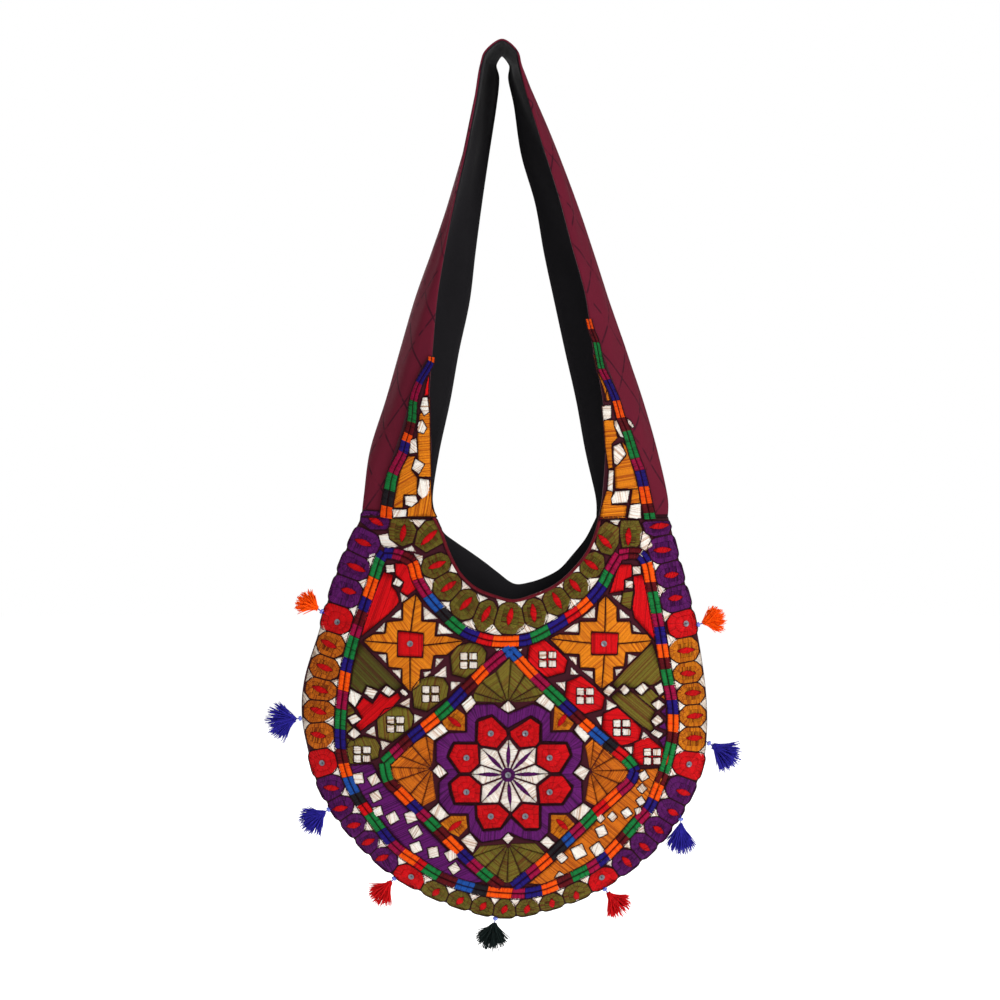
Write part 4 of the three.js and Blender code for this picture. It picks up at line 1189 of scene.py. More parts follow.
# The fields that are left between the ribbons are worked in plain satin shapes: red and olive
# above, olive and red at the sides, purple and amber below, all strewn with white pieces.
field_shapes = [
    ("red", 70, [(-124, 204), (-114.5, 200), (-116.5, 190), (-111, 183), (-108.5, 173),
                 (-118.7, 161), (-147, 138), (-146, 152.6), (-138, 174.2), (-132, 187)]),
    ("red", 60, [(-113, 212), (-99, 212), (-90.5, 187), (-101, 178.7), (-108, 183.2),
                 (-104.7, 192), (-113, 200)]),
    ("red", 80, [(111, 211), (124, 211), (124, 198), (116.5, 194.6), (116, 184), (101, 181)]),
    ("red", 85, [(125, 199), (137, 201), (150, 150), (147, 134), (126, 157), (124, 168),
                 (126.6, 182.6)]),
    ("olive", 10, [(114.5, 183), (126, 184), (123, 164.5), (112.5, 171)]),
    ("moss", 135, [(-148.6, 133.3), (-154.7, 118.3), (-156.9, 100.6), (-158, 88.3), (-145.8, 80.6),
                   (-141.3, 89.4), (-129.7, 85), (-121.3, 90.6), (-112.4, 83.9), (-105.2, 88.9)]),
    ("red", 42, [(-152.4, 67.2), (-144.7, 77.8), (-135.2, 71.7), (-128, 82.2), (-119.1, 77.2),
                 (-110.2, 82.8), (-106.9, 77.2), (-115.8, 67.2), (-148, 43.3), (-153, 49.4),
                 (-146.3, 55.6)]),
    ("olive", 20, [(-161.3, 72.8), (-153.6, 65.6), (-153, 61.7), (-161.3, 58.3)]),
    ("olive", 30, [(-162.4, 55), (-156.3, 48.9), (-155.2, 47.8), (-162.4, 40.6)]),
    ("olive", 30, [(-163.6, 38.3), (-153.6, 33.9), (-153, 29.4), (-160.2, 27.2)]),
    ("olive", 45, [(144.8, 132.2), (149.2, 117.8), (153.1, 105.6), (153.7, 95.6), (145.9, 90),
                   (141.4, 88.9), (135.9, 92.8), (127, 86.7), (122.6, 86.7), (114.8, 91.1),
                   (109.2, 86.1), (104.2, 90.6), (118.1, 106.7), (131.4, 119.4)]),
    ("olive", 140, [(102.6, 77.8), (109.8, 84), (115.9, 79.4), (122.6, 84.4), (147.6, 63.3),
                    (142.6, 54.4), (146.4, 46), (142, 42.8), (125, 56), (111.4, 67.8)]),
    ("olive", 130, [(122.6, 84.4), (133, 79.4), (142.6, 86.7), (151, 78.3), (143, 71.7),
                    (149.2, 63.3)]),
    ("amber", 40, [(152.6, 77.8), (156.4, 80.6), (157.6, 74.4)]),
    ("purple", 20, [(152.6, 63.3), (158.1, 68.3), (158.7, 57.2)]),
    ("purple", 20, [(149.8, 47.8), (157.6, 53.3), (159.2, 44.4)]),
    ("purple", 20, [(150.9, 34.4), (159.2, 41.1), (159.2, 28.9), (155.9, 26.7)]),
    ("purple", 25, [(-160, 11), (-135, 11), (-127, -4), (-108, -26), (-80, -55), (-49, -86),
                    (-24, -107), (-40, -109), (-62, -103), (-85, -89), (-104, -74), (-121, -54),
                    (-135, -38), (-149, -19)]),
    ("tawny", 140, [(156, -6), (150, 7), (132, 6), (128, -6), (108, -26), (76, -57), (44, -88),
                    (20, -109), (36, -110), (62, -101), (84, -88), (102, -73), (119, -53),
                    (133, -36), (148, -18)]),
]
white_shapes = [
    [(-123, 210), (-114, 211), (-113, 203), (-122, 202)],
    [(-112, 198), (-104.5, 193), (-108.5, 187.5), (-116, 190.5)],
    [(124, 209), (132.5, 209), (133.5, 201), (125, 200)],
    [(117, 195), (125.5, 194), (125, 186.5), (117, 187)],
    [(-158, 86.7), (-145.8, 79.8), (-153, 67.2), (-160.2, 74.4)],
    [(-141.3, 88.9), (-129.7, 83.9), (-135.2, 75), (-144.1, 81.7)],
    [(-121.3, 90), (-112.4, 83.3), (-119.1, 77.8), (-127.4, 83.9)],
    [(-105.2, 86.7), (-99.7, 81.1), (-102.4, 77.8), (-109.1, 83.9)],
    [(-161.3, 57.2), (-151.9, 61.1), (-146.3, 55.6), (-155.8, 49.7)],
    [(-160.8, 41.1), (-154.1, 47.8), (-146.9, 41.1), (-153.6, 35)],
    [(94.2, 83.3), (100.9, 90.2), (107.9, 85.6), (100.9, 78)],
    [(111.2, 85.6), (117, 90.8), (121.7, 85.6), (120.9, 82.2), (116.1, 79.4)],
    [(126.4, 85.6), (134.8, 92.6), (141.2, 87.2), (133.7, 79.4)],
    [(145.9, 88.3), (153.7, 93.3), (156.4, 83.3), (151.2, 78.9)],
    [(143.1, 71.1), (150.9, 75.9), (157, 70.6), (149.8, 64.1)],
    [(142.6, 54.4), (149.8, 60.9), (156.1, 53.9), (147.6, 48.3)],
    [(142.3, 41.7), (146.4, 45.8), (155.7, 41.7), (150.3, 36.1)],
    [(51, -96), (57, -100), (46, -103.5)],
]
white_squares = [
    (-149.7, -3.5, 11, 10), (-134.2, -4.8, 10.5, 30), (-132.3, -21.4, 10.5, 25),
    (-130.5, -36.5, 10, 15), (-115.5, -43, 11, 30), (-97.3, -42, 11.5, 20), (-92.5, -57, 11.5, 30),
    (-92, -72.6, 11, 20), (-74.7, -77.4, 11, 10), (-56.8, -80.2, 11, 30), (-53.7, -93.6, 10, 35),
    (135.5, -1, 9, 30), (134, -13.6, 8, 45), (132.7, -26.2, 8, 35), (130.5, -36, 7, 20),
    (118.7, -38, 9, 35), (104.4, -41.7, 8, 45), (92.5, -43.3, 7.5, 45), (93.4, -56.4, 10.5, 25),
    (89.4, -74.5, 12, 35), (70.8, -77, 13, 25), (53.7, -82.6, 9.5, 45),
]
for shade, lean, shape in field_shapes:
    satin(plan(shape), lean, shade, 0, -0.4)
    ring_cord(plan(shape), 0.6, 0.9)
unit_square = np.array([(-0.5, -0.5), (0.5, -0.5), (0.5, 0.5), (-0.5, 0.5)])
for right, up, size, turned in white_squares:
    white_shapes.append(unit_square @ turning(turned) * size + (right, up))
for k, chart in enumerate(white_shapes):
    shape = plan(chart)
    ring_cord(shape, 0.9, 1.0)
    satin(shape, 70 * k, "white", 1, 0.5)
for corner in (
    [(-108, 182.5), (-100, 177), (-106.3, 172.5)],
    [(104, 179), (114, 180), (112, 172)],
):
    satin(plan(corner), 60, "white")
sew("fields")

# The back is plain maroon cotton, printed with a faint lattice, and cut in a shallower scoop. Both
# walls are lined in black, and the front's mouth shows the back's lining behind it.
back_mouth_rows = [
    (0.05, 0.24), (0.13, 0.39), (0.21, 0.52), (0.31, 0.69), (0.38, 0.82), (0.49, 1.0),
    (0.58, 0.98), (0.68, 0.9), (0.77, 0.78), (0.85, 0.57), (0.93, 0.33), (0.98, 0.1),
]
back_mouth_drop = 69.0
back_mouth_ends = (0.98, 0.94)
back_mouth = mouth_line(back_mouth_rows, back_mouth_ends, back_mouth_drop)
front_wall = 3.0
back_wall = 1.6
lining_wall = 1.0
lattice_wide = 0.040
lattice_tall = 0.058


def cotton_print(name, colour, worn, line_colour):
    """Cotton printed with a lattice of faint dark lines: they lie where either of two leaning sine
    waves over the map is near 0, and break where a slow noise is low."""
    cloth = woven(name, colour, worn, 0.0)
    split = {
        way: cloth.node("SeparateXYZ", {}, {"Vector": cloth.map}, way) for way in ("X", "Y")
    }
    across = split["X"] * (math.pi / lattice_wide)
    along = split["Y"] * (math.pi / lattice_tall)
    waves = [
        cloth.node("Math", {"operation": "SINE"}, {0: across + along}),
        cloth.node("Math", {"operation": "SINE"}, {0: across - along}),
    ]
    off = [cloth.node("Math", {"operation": "ABSOLUTE"}, {0: wave}) for wave in waves]
    near = cloth.node("Math", {"operation": "MINIMUM"}, {0: off[0], 1: off[1]})
    none, full = (0, 0, 0, 1), (1, 1, 1, 1)
    line_stops = {"stops": [(0.05, full), (0.12, none)]}
    inked = cloth.node("ValToRGB", line_stops, {"Fac": near}, "Color")
    broken = cloth.noise(cloth.place(), 90.0, 2.0)
    gap_stops = {"stops": [(0.38, none), (0.5, full)]}
    gaps = cloth.node("ValToRGB", gap_stops, {"Fac": broken}, "Color")
    cloth.feed("Base Color", cloth.blend(inked * gaps, cloth.colour, line_colour))
    cloth.relief(cloth.weave, weave_depth)
    return cloth


maroon_print = cotton_print(
    "maroon_print", tint(94, 18, 37), tint(80, 16, 33), tint(50, 9, 24)
)
black_cotton = woven("black_cotton", tint(26, 24, 27), tint(16, 15, 18))
black_cotton.feed("Base Color", black_cotton.colour)
black_cotton.relief(black_cotton.weave, weave_depth)


def body_wall(name, side, inset, thick, belly, mouth, sink, finish):
    """One cloth wall of the round body, forward of the seam for a side of -1 and behind it for 1."""
    layers = []
    for deep in (inset, inset + thick):
        places = panel_plan(mouth, deep, sink, wall_rows, wall_columns)
        depth = seam_half + (belly - deep) * swell(places[..., 0], places[..., 1], deep)
        layers.append(np.stack([places[..., 0], side * depth, places[..., 1]], axis=-1))
    wall = closed_wall(name, layers[0], layers[1], finish.material)
    map_cloth(wall, places[..., 0], places[..., 1])
    return wall


in_place(
    body_wall("back_cloth", 1, 0, back_wall, back_belly, back_mouth, 0, maroon_print),
    "maroon_cotton", "back_panel",
)
in_place(
    body_wall("back_lining_cloth", 1, back_wall + layer_fit, lining_wall, back_belly, back_mouth,
              0, black_cotton),
    "black_lining", "back_lining",
)
in_place(
    body_wall("front_lining_cloth", -1, front_wall + layer_fit, lining_wall, front_belly,
              front_mouth, binding_height, black_cotton),
    "black_lining", "front_lining",
)

# A narrow dark red binding is rolled over the front's mouth and overcast with close slanting
# stitches.
binding_thread = 1.15
binding_slant = 2.2
binding_ridge = 0.13
binding_radius = 1.7
binding_sit = 1.5
overcast = Finish("overcast", Roughness=0.8)
overcast.shader.inputs["Specular IOR Level"].default_value = 0.1
overcast_mottle = overcast.noise(overcast.place(), 260.0, 2.0)
overcast.feed("Base Color", overcast.blend(overcast_mottle, tint(100, 15, 27), tint(58, 8, 18)))
binding_far = np.arange(0.2, distances(front_mouth)[-1], 0.3)
binding_lip = walk(front_mouth, binding_far)
binding_up = leftward(front_mouth, binding_far)
binding_turn = np.linspace(-0.25 * math.pi, 1.25 * math.pi, 11)
outer_face = -(seam_half + front_belly * swell(binding_lip[:, 0], binding_lip[:, 1]))
binding_inset = front_wall + layer_fit + lining_wall
inner_face = -(
    seam_half
    + (front_belly - binding_inset) * swell(binding_lip[:, 0], binding_lip[:, 1])
)
binding_half = (inner_face - outer_face) / 2 + 0.2
binding_middle = (inner_face + outer_face) / 2
ridge = np.abs(
    np.sin(math.pi * (binding_far[:, None] / binding_thread + binding_turn / binding_slant))
)
swelled = 1 + binding_ridge * ridge
binding_rise = binding_radius * (np.sin(binding_turn) * swelled) - binding_sit
binding_across = np.cos(binding_turn) * swelled * binding_half[:, None]
binding_places = binding_lip[:, None] + binding_up[:, None] * binding_rise[..., None]
binding_points = np.stack(
    [
        binding_places[..., 0],
        binding_middle[:, None] - binding_across,
        binding_places[..., 1],
    ],
    axis=-1,
)
binding_rings, binding_sides = binding_points.shape[:2]
binding_index = np.arange(binding_rings * binding_sides).reshape(binding_rings, binding_sides)
binding_next = np.roll(binding_index, -1, axis=1)
binding_quads = np.stack(
    [binding_index[:-1], binding_index[1:], binding_next[1:], binding_next[:-1]], axis=-1
).reshape(-1, 4)
binding_roll = add_mesh(
    "binding_roll", binding_points.reshape(-1, 3), binding_quads, overcast.material
)
in_place(binding_roll, "binding", "mouth_binding")

# The strap is a broad band of the printed cotton lined in black. It hangs folded along its outer
# edge over a peg, and its ends open out as flaps that are sewn over the front and the back.
strap_wall = 1.5
strap_lining_wall = 1.2
strap_gap = 0.3
strap_depth = strap_wall + strap_gap + strap_lining_wall
peg_reach = 0.53
flap_curl = 1.6
flap_spread = 1.5
left_leg_rows = [
    (1.0, 1.0, 0.98, 0.29, 0.98, 0.26), (0.957, 0.985, 0.88, 0.33, 0.91, 0.23),
    (0.861, 0.94, 0.83, 0.45, 0.92, 0.2), (0.753, 0.83, 0.6, 0.57, 0.86, 0.19),
    (0.646, 0.735, 0.47, 0.65, 0.8, 0.2), (0.538, 0.627, 0.33, 0.68, 0.74, 0.23),
    (0.431, 0.5, 0.2, 0.67, 0.58, 0.33), (0.323, 0.374, 0.09, 0.64, 0.43, 0.42),
    (0.216, 0.27, 0.04, 0.6, 0.33, 0.48), (0.109, 0.19, 0.01, 0.56, 0.28, 0.52),
    (0.05, 0.155, 0.0, 0.54, 0.25, 0.53), (0.018, 0.118, 0.0, 0.53, 0.14, 0.53),
]
right_leg_rows = [
    (1.0, 1.0, 0.93, 0.28, 0.94, 0.26), (0.957, 0.998, 0.88, 0.33, 0.95, 0.23),
    (0.861, 0.939, 0.72, 0.48, 0.96, 0.2), (0.753, 0.852, 0.57, 0.62, 0.89, 0.19),
    (0.646, 0.753, 0.48, 0.67, 0.82, 0.2), (0.538, 0.647, 0.34, 0.69, 0.73, 0.23),
    (0.431, 0.548, 0.3, 0.66, 0.65, 0.3), (0.323, 0.446, 0.25, 0.61, 0.54, 0.4),
    (0.216, 0.33, 0.2, 0.56, 0.47, 0.48), (0.109, 0.201, 0.12, 0.54, 0.28, 0.52),
    (0.05, 0.131, 0.05, 0.53, 0.2, 0.53), (0.018, 0.092, 0.0, 0.53, 0.09, 0.53),
]


def leg_table(rows, reach, sign):
    """The fold's x and z, and how far in and how deep the front and the back flap reach."""
    down, out, front_in, forward, back_in, back = np.array(rows).T
    return np.column_stack(
        [
            -sign * reach * out,
            -strap_drop * down,
            sign * band_half * front_in,
            band_half * forward,
            sign * band_half * back_in,
            band_half * back,
        ]
    )


over_peg = [[0, strap_depth, 0, peg_reach * band_half, 0, peg_reach * band_half]]
strap_table = np.vstack(
    [
        leg_table(left_leg_rows, left_reach, 1),
        over_peg,
        leg_table(right_leg_rows, right_reach, -1)[::-1],
    ]
)
last_row = len(strap_table) - 1


def along_strap(place):
    """The table's row at a place along it, by the uniform cubic through its rows."""
    place = np.asarray(place, float)
    low = np.clip(np.floor(place).astype(int), 0, last_row - 1)
    t = (place - low)[..., None]
    a, b, c, d = (strap_table[np.clip(low + step, 0, last_row)] for step in (-1, 0, 1, 2))
    return b + 0.5 * t * (c - a + t * (2 * a - 5 * b + 4 * c - d + t * (3 * (b - c) + d - a)))


def flap_spot(row, place, share, front):
    """The point of a flap at a share of its width from the fold. Its reach in goes by share ^ 1.5.
    High up its depth is that of a free curl, 1 - (1 - share) ^ 1.6, and at the shoulder that of
    the swelling body."""
    reach_in = np.where(front, row[..., 2], row[..., 4])
    depth = np.where(front, row[..., 3], row[..., 5])
    side = np.where(front, -1, 1)
    free = side * depth * (1 - (1 - share) ** flap_curl)
    shoulder = np.where(place < last_row / 2, -left_reach, right_reach)
    foot = shoulder + reach_in * share**flap_spread
    belly = np.where(front, front_belly, back_belly)
    body = side * belly * swell(foot, np.full_like(foot, body_top))
    rise = np.clip((row[..., 1] + strap_drop) / (band_half * 0.9), 0, 1)
    rise = rise**2 * (3 - 2 * rise)
    x = row[..., 0] + reach_in * share**flap_spread
    return np.stack([x, body * (1 - rise) + free * rise, row[..., 1]], axis=-1)


def on_strap(place, across):
    """The outer face, from the back flap's edge at -1 by the fold at 0 to the front's at 1."""
    place, across = np.broadcast_arrays(np.asarray(place, float), across)
    return flap_spot(along_strap(place), place, np.abs(across), across > 0)


def strap_normal(place, across):
    """The unit vector out of the outer face, from short steps along the strap and across it."""
    step = 0.02
    before = on_strap(np.maximum(place - step, 0), across)
    after = on_strap(np.minimum(place + step, last_row), across)
    back = on_strap(place, np.maximum(across - step, -1))
    front = on_strap(place, np.minimum(across + step, 1))
    normal = np.cross(front - back, after - before)
    return normal / np.linalg.norm(normal, axis=-1, keepdims=True)


strap_columns = 35
strap_places = np.linspace(0, last_row, 261)[:, None]
strap_across = np.linspace(-1, 1, strap_columns)[None]
strap_face = on_strap(strap_places, strap_across)
strap_out = strap_normal(*np.broadcast_arrays(strap_places, strap_across))
strap_wide = np.concatenate(
    [
        np.zeros((len(strap_places), 1)),
        np.cumsum(np.linalg.norm(np.diff(strap_face, axis=1), axis=-1), axis=1),
    ],
    axis=1,
)
fold_column = strap_columns // 2
strap_wide -= strap_wide[:, fold_column : fold_column + 1]
fold_far = distances(strap_face[:, fold_column])
strap_tall = np.broadcast_to(fold_far[:, None], strap_wide.shape)

# Its creases are slow slanting waves, which die out at the feet, at the peg and at both edges.
crease = 0.9 * np.sin(strap_across * 7 + 1.5 * np.sin(fold_far / 70)[:, None]) * np.sin(
    fold_far / 41 + 0.8
)[:, None] + 0.5 * np.sin(strap_across * 13 - fold_far[:, None] / 26)
settle = np.clip(np.minimum(fold_far, fold_far[-1] - fold_far) / 60, 0, 1)[:, None]
near_peg = np.clip(np.abs(fold_far - fold_far[-1] / 2) / 40, 0, 1)[:, None]
crease = crease * settle * near_peg * (1 - strap_across**8)


def strap_sheet(name, outer, inner, finish):
    """A closed sheet of the band between two depths under its outer face, with its creases."""
    layers = [strap_face + strap_out * (crease - deep)[..., None] for deep in (outer, inner)]
    band_piece = closed_wall(name, layers[0], layers[1], finish.material)
    map_cloth(band_piece, strap_wide, strap_tall)
    return band_piece


in_place(strap_sheet("strap_cloth", 0, strap_wall, maroon_print), "maroon_cotton", "strap")
in_place(
    strap_sheet("strap_lining_cloth", strap_wall + strap_gap, strap_depth, black_cotton),
    "black_lining", "strap_lining",
)

# A pointed piece of embroidered cloth lies on each front flap of the strap, along its free edge:
# a ribbon of colour down its outer side, and amber satin with white pieces between.
point_gap = 0.8
point_thick = 0.7
left_point_rows = [
    (0.004, 0.58), (0.087, 0.51), (0.15, 0.42), (0.203, 0.35), (0.246, 0.3), (0.288, 0.23),
    (0.32, 0.13), (0.337, 0.04),
]
right_point_rows = [
    (0.004, 0.64), (0.06, 0.55), (0.12, 0.47), (0.175, 0.38), (0.23, 0.3), (0.3, 0.2),
    (0.36, 0.13), (0.41, 0.04),
]
left_run = np.linspace(0, last_row / 2, 400)
right_run = np.linspace(last_row, last_row / 2, 400)
place_length = 40.0


def flap_place(z, leg):
    """The place along the table where a leg is at a height."""
    return np.interp(z, along_strap(leg)[:, 1], leg)


def flap_depth(x, z, leg):
    """How far forward the front flap's outer face is over a place, with the point's cloth on."""
    place = flap_place(z, leg)
    row = along_strap(place)
    share = np.clip((x - row[..., 0]) / np.where(row[..., 2] == 0, 1, row[..., 2]), 0, 1)
    spot = flap_spot(row, place, share ** (1 / flap_spread), np.full(np.shape(x), True))
    return -spot[..., 1] + point_gap + point_thick


def on_left_flap(x, z, lift):
    """The point over a place on the left front flap, lifted off the point's cloth."""
    return np.stack([x, -(flap_depth(x, z, left_run) + lift + ground_sink), z], axis=-1)


def on_right_flap(x, z, lift):
    """The point over a place on the right front flap, lifted off the point's cloth."""
    return np.stack([x, -(flap_depth(x, z, right_run) + lift + ground_sink), z], axis=-1)


for name, rows, leg in (
    ("point_cloth_left", left_point_rows, left_run),
    ("point_cloth_right", right_point_rows, right_run),
):
    up, width = smooth_line(rows, 6).T
    place = flap_place(-strap_drop * (1 - up), leg)[:, None]
    across = 1 - width[:, None] * np.linspace(1, 0, 9)
    place, across = np.broadcast_arrays(place, across)
    face = on_strap(place, across)
    out = strap_normal(place, across)
    cloth_piece = closed_wall(
        name, face + out * (point_gap + point_thick), face + out * point_gap, ground_cloth.material
    )
    map_cloth(cloth_piece, across * band_half, place * place_length)
    in_place(cloth_piece, "embroidery", name.replace("point_cloth", "strap_point"))

left_ribbon = [
    (-76.5, 418, "orange"), (-77, 413, "orange"), (-89, 392, "navy"), (-94.5, 374.5, "magenta"),
    (-96.5, 353, "green"), (-99.5, 341, "maroon"), (-102, 333.5, "orange"), (-105, 322.5, "navy"),
    (-115, 301.5, "magenta"), (-118.5, 284.5, "green"), (-121, 269, "black"), (-122, 257, "orange"),
]
left_shapes = [
    ("red", 85, [(-80, 399), (-84, 379), (-79.5, 379), (-78.5, 399)]),
    ("amber", 5, [(-78, 378), (-76.5, 298), (-90, 298), (-91, 338), (-89, 360)]),
    ("amber", 30, [(-100, 319), (-92, 319), (-96, 305), (-90, 297), (-91, 280), (-104, 280),
                   (-105, 267), (-116, 267), (-112, 287), (-108, 305)]),
    ("amber", 80, [(-90, 273), (-77, 297), (-76, 268), (-71, 258), (-101, 258), (-100, 267)]),
]
left_whites = [
    [(-85.5, 378), (-80, 377.5), (-78.5, 363), (-84, 359), (-88.5, 367)],
    [(-90, 353), (-85.5, 355.5), (-81, 347), (-84.5, 341), (-91, 343)],
    [(-98, 335), (-91.5, 337), (-90, 322), (-99, 321)],
    [(-93, 317), (-83, 311), (-89, 300.5), (-96.5, 306)],
    [(-88.5, 297), (-78.5, 295.5), (-78.5, 277), (-85.5, 275), (-91, 282)],
    [(-104, 279), (-92, 280), (-89.5, 273), (-96, 268), (-103, 270)],
    [(-116.5, 266), (-101, 266), (-101.5, 258), (-115, 257)],
]
right_ribbon = [
    (80.5, 456, "orange"), (83, 446, "orange"), (88, 433, "maroon"), (93.5, 406.5, "green"),
    (99, 395, "magenta"), (108, 374.5, "navy"), (113, 357, "orange"), (118.5, 344, "maroon"),
    (127, 317, "green"), (131.5, 305, "magenta"), (135.5, 289, "navy"), (139, 271, "orange"),
    (141, 262, "maroon"), (142, 256, "green"),
]
right_shapes = [
    ("amber", 10, [(85, 421), (89, 403), (95, 387), (99, 373), (102, 375), (98, 390), (90, 403),
                   (88, 419)]),
    ("amber", 10, [(99, 387), (102.5, 381), (102.5, 374), (97, 374)]),
    ("amber", 5, [(95, 355), (106, 355), (110, 337), (104, 331), (105, 307), (100, 306),
                  (97, 327)]),
    ("amber", 10, [(113, 335), (121, 326), (127, 303), (131, 286), (107, 286), (106, 307),
                   (118, 319)]),
    ("amber", 15, [(124, 286), (131, 286), (132.5, 272), (122, 271)]),
    ("amber", 5, [(98, 284), (105, 284), (104, 270), (119.5, 270), (118, 257), (91, 256),
                  (93, 267)]),
    ("red", 85, [(91, 257.5), (119, 258.5), (119, 256), (91, 255)]),
]
right_whites = [
    [(93.5, 369), (103.5, 369.5), (103.5, 357), (95, 354)],
    [(106, 354), (109, 355), (116, 337), (112, 338), (106, 349)],
    [(105, 329), (112, 332), (118.5, 321), (110, 310), (106, 311), (105, 319)],
    [(100.5, 305), (106, 305), (105, 283), (99, 285)],
    [(107, 284), (122, 285), (119.5, 272), (104, 271), (103, 277)],
    [(122, 270), (133, 272), (133.5, 256), (119.5, 257)],
    [(119, 357), (123, 354), (126.5, 348), (124, 347), (120, 351)],
]
for side, leg, face, rows, shapes, whites, widths in (
    ("left", left_run, on_left_flap, left_ribbon, left_shapes, left_whites, (0.55, 1.1)),
    ("right", right_run, on_right_flap, right_ribbon, right_shapes, right_whites, (0.45, 1.0)),
):

    def depth(x, z, leg=leg):
        """How far forward this side's point of cloth is over a place."""
        return flap_depth(x, z, leg)

    for shade, lean, shape in shapes:
        shape = plan(shape, depth)
        satin(shape, lean, shade, 0, -0.3)
        ring_cord(shape, 0.7)
    for k, shape in enumerate(whites):
        shape = plan(shape, depth)
        ring_cord(shape, 1)
        satin(shape, 70 * k, "white", 1, 0.4)
    ribbon(rows, depth, widths)
    sew(f"point_stitches_{side}", face)

# The flaps' feet are joined to the body's top by close dark stitches across the seam, in front and
# at the back.
seam_reach = 1.4


def on_front_foot(x, z, lift):
    """The point over the strap's foot in front, lifted off the cloth."""
    return np.stack([x, -(front_depth(x, z) + lift + ground_sink), z], axis=-1)


def on_back_foot(x, z, lift):
    """The point over the strap's foot at the back, lifted off the cloth."""
    depth = seam_half + back_belly * swell(x, np.minimum(z, body_top))
    return np.stack([x, depth + lift + ground_sink, z], axis=-1)


for side, face, ends in (
    ("front", on_front_foot, front_mouth_ends),
    ("back", on_back_foot, back_mouth_ends),
):
    spans = (
        (-left_reach + 1, -left_reach + band_half * ends[0]),
        (right_reach - band_half * ends[1], right_reach - 1),
    )
    for low, high in spans:
        across = np.arange(low, high, 0.7)
        foot = np.stack([across, np.full_like(across, body_top - seam_reach)], axis=1)
        head = foot + [0.5, 2 * seam_reach + layer_fit]
        lay(foot, head, "line" if side == "front" else "maroon")
    sew(f"seam_stitches_{side}", face, "binding")


# Small cupped discs of dull metal are sewn to the flower's hub, the eight red cells round it, the
# six red cells of the edge and the two stars. Each has a hole in its middle.
sequin_profile = np.array(
    [(0.55, 0.1), (1.5, 0.22), (2.5, 0.6), (2.95, 0.85), (3.0, 0.72), (2.6, 0.42), (1.5, 0.02),
     (0.55, -0.12)]
)
sequin_sides = 20
sequin_metal = Finish("sequin_metal", Metallic=0.75, Roughness=0.42)
sequin_dull = sequin_metal.noise(sequin_metal.place(), 900.0, 2.0)
sequin_metal.feed(
    "Base Color", sequin_metal.blend(sequin_dull, tint(128, 128, 136), tint(70, 70, 80))
)


def turned_round(centre, axis, profile, sides):
    """Rings of points about an axis, for a profile given as distances from it and along it."""
    helper = np.array([0.0, 0.0, 1.0]) if abs(axis[2]) < 0.9 else np.array([1.0, 0.0, 0.0])
    first = np.cross(axis, helper)
    first /= np.linalg.norm(first)
    second = np.cross(axis, first)
    turn = np.arange(sides) * 2 * math.pi / sides
    ring = np.cos(turn)[:, None] * first + np.sin(turn)[:, None] * second
    return centre + profile[:, None, :1] * ring + profile[:, None, 1:] * axis


def looped_faces(count, rows, columns):
    """The quads of grids whose rows and columns both close on themselves."""
    row, column = np.arange(rows)[:, None], np.arange(columns)[None]
    near, far = row * columns, (row + 1) % rows * columns
    quads = np.stack(
        [near + column, near + (column + 1) % columns, far + (column + 1) % columns, far + column],
        axis=-1,
    ).reshape(-1, 4)
    return (quads + np.arange(count)[:, None, None] * rows * columns).reshape(-1, 4)


disc_points = []
for x, z in sequins:
    slope_x, slope_z = (
        (front_depth(x + step_x, z + step_z) - front_depth(x - step_x, z - step_z)) / 2
        for step_x, step_z in ((1, 0), (0, 1))
    )
    normal = -np.array([slope_x, 1, slope_z])
    normal /= np.linalg.norm(normal)
    disc_points.append(turned_round(on_front(x, z, 0.3), normal, sequin_profile, sequin_sides))
discs = add_mesh(
    "sequin_discs", np.reshape(disc_points, (-1, 3)),
    looped_faces(len(sequins), len(sequin_profile), sequin_sides), sequin_metal.material,
)
in_place(discs, "sequin_metal", *sequin_names)

# Nine tassels of loose yarn hang from the bag's edge. Each is a spray of strands from a knot, on a
# thread that runs through a glass bead.
bead_radius = 2.6
bead_bore = 1.0
bead_half_length = 1.5
bead_sides = 18
strands = 230
rings = 7
yarn_radius = 0.66
knot_length = 4.5
knot_beyond = 6.1
tassel_rows = [
    (-124, 27, 46, "orange"), (-84, 33, 60, "blue"), (-58, 30, 52, "blue"), (-42, 29, 44, "red"),
    (-10, 29, 56, "black"), (40, 29, 46, "red"), (0, 32, 42, "blue"), (58, 33, 46, "blue"),
    (108, 27, 52, "orange"),
]
yarn_shades = {
    "orange": (tint(252, 90, 6), tint(226, 62, 2)),
    "blue": (tint(52, 46, 170), tint(28, 22, 104)),
    "red": (tint(222, 22, 26), tint(160, 8, 16)),
    "black": (tint(26, 38, 36), tint(10, 16, 16)),
}
yarns = {}
for shade, (bright, deep) in yarn_shades.items():
    yarn = Finish(shade + "_yarn", Roughness=0.9)
    yarn.shader.inputs["Specular IOR Level"].default_value = 0.08
    yarn.feed("Base Color", yarn.blend(yarn.noise(yarn.place(), 420.0, 3.0), bright, deep))
    yarns[shade] = yarn


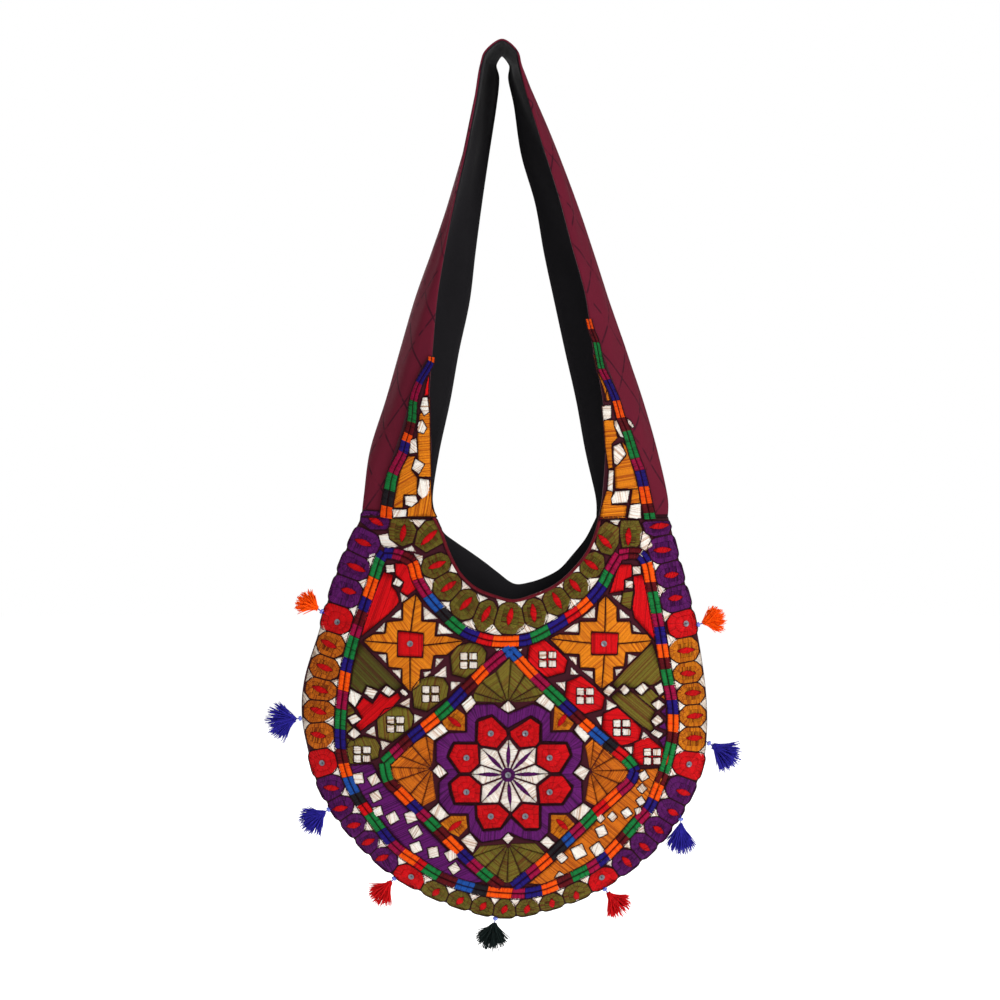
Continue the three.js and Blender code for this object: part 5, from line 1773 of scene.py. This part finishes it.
def spray(name, knot, points, length, spread, finish):
    """Strands from a knot, as three-sided tubes: each sets out at its own angle within the spread,
    bends aside by its share ^ 2 with a small wave, sags, and tapers towards its tip."""
    share = draw.uniform(-1, 1, strands)
    angle = np.radians(points + spread * share * draw.uniform(0.75, 1.1, strands))
    lean = np.radians(spread * 0.8) * draw.normal(0, 0.5, strands) * (1 - 0.4 * np.abs(share))
    reach = (length - knot_length) * (1 - 0.16 * share**2) * draw.uniform(0.7, 1.08, strands)
    way = np.stack(
        [np.sin(angle) * np.cos(lean), np.sin(lean), -np.cos(angle) * np.cos(lean)], axis=1
    )
    side = np.cross(way, [0, 1, 0])
    side /= np.linalg.norm(side, axis=1, keepdims=True)
    over = np.cross(side, way)
    t = np.linspace(0, 1, rings)
    bend = draw.normal(0, 1.3, (2, strands))
    wave = draw.uniform(0, 6.3, (2, strands))
    root = draw.normal(0, 0.9, (strands, 3))
    sway = [
        bend[k][:, None] * t**2 + 0.35 * np.sin(5 * t[None] + wave[k][:, None]) * t for k in (0, 1)
    ]
    core = (
        knot
        + root[:, None] * (1 - t)[:, None]
        + way[:, None] * (reach[:, None] * t)[..., None]
        + side[:, None] * sway[0][..., None]
        + over[:, None] * sway[1][..., None]
    )
    core[..., 2] -= (1.2 * t**2)[None]
    thick = yarn_radius * (1 - 0.45 * t**3)
    turn = draw.uniform(0, 6.3, strands)[:, None] + 2 * math.pi / 3 * np.arange(3)
    ring = side[:, None] * np.cos(turn)[..., None] + over[:, None] * np.sin(turn)[..., None]
    points_all = core[:, :, None] + thick[None, :, None, None] * ring[:, None]
    return add_mesh(
        name, points_all.reshape(-1, 3), tube_faces(strands, rings), finish.material
    )


turn = np.arange(10) * 2 * math.pi / 10
bead_wall = (bead_radius - bead_bore) / 2
bead_profile = np.stack(
    [(bead_radius + bead_bore) / 2 + bead_wall * np.cos(turn), bead_half_length * np.sin(turn)],
    axis=1,
)
thread_radius = 0.55
thread_sides = 8
thread_profile = np.array([(0.05, -4.5), (thread_radius, -4.4), (thread_radius, knot_beyond),
                           (0.05, knot_beyond + 0.1)])
bead_points, thread_points = [], []
for k, (points, length, spread, shade) in enumerate(tassel_rows, 1):
    low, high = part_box(f"bead_{k}")
    bead_middle = (np.array(low) + np.array(high)) / 2 / metre
    axis = np.array([math.sin(math.radians(points)), 0, -math.cos(math.radians(points))])
    knot = bead_middle + axis * knot_beyond
    tassel = spray(f"tassel_yarn_{k}", knot, points, length, spread, yarns[shade])
    in_place(tassel, shade + "_yarn", f"tassel_{k}")
    bead_points.append(turned_round(bead_middle, axis, bead_profile, bead_sides))
    thread_points.append(turned_round(bead_middle, axis, thread_profile, thread_sides))
bead_glass = Finish("bead_glass", Roughness=0.15)
bead_swirl = bead_glass.noise(bead_glass.place(), 500.0, 1.0)
bead_glass.feed("Base Color", bead_glass.blend(bead_swirl, tint(26, 34, 150), tint(130, 146, 220)))
beads = add_mesh(
    "glass_beads", np.reshape(bead_points, (-1, 3)),
    looped_faces(len(tassel_rows), len(bead_profile), bead_sides), bead_glass.material,
)
in_place(beads, "bead_glass", *(f"bead_{k}" for k in range(1, len(tassel_rows) + 1)))
threads = add_mesh(
    "tassel_threads", np.reshape(thread_points, (-1, 3)),
    looped_faces(len(tassel_rows), len(thread_profile), thread_sides), yarns["blue"].material,
)
in_place(threads, "blue_yarn")

low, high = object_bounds()
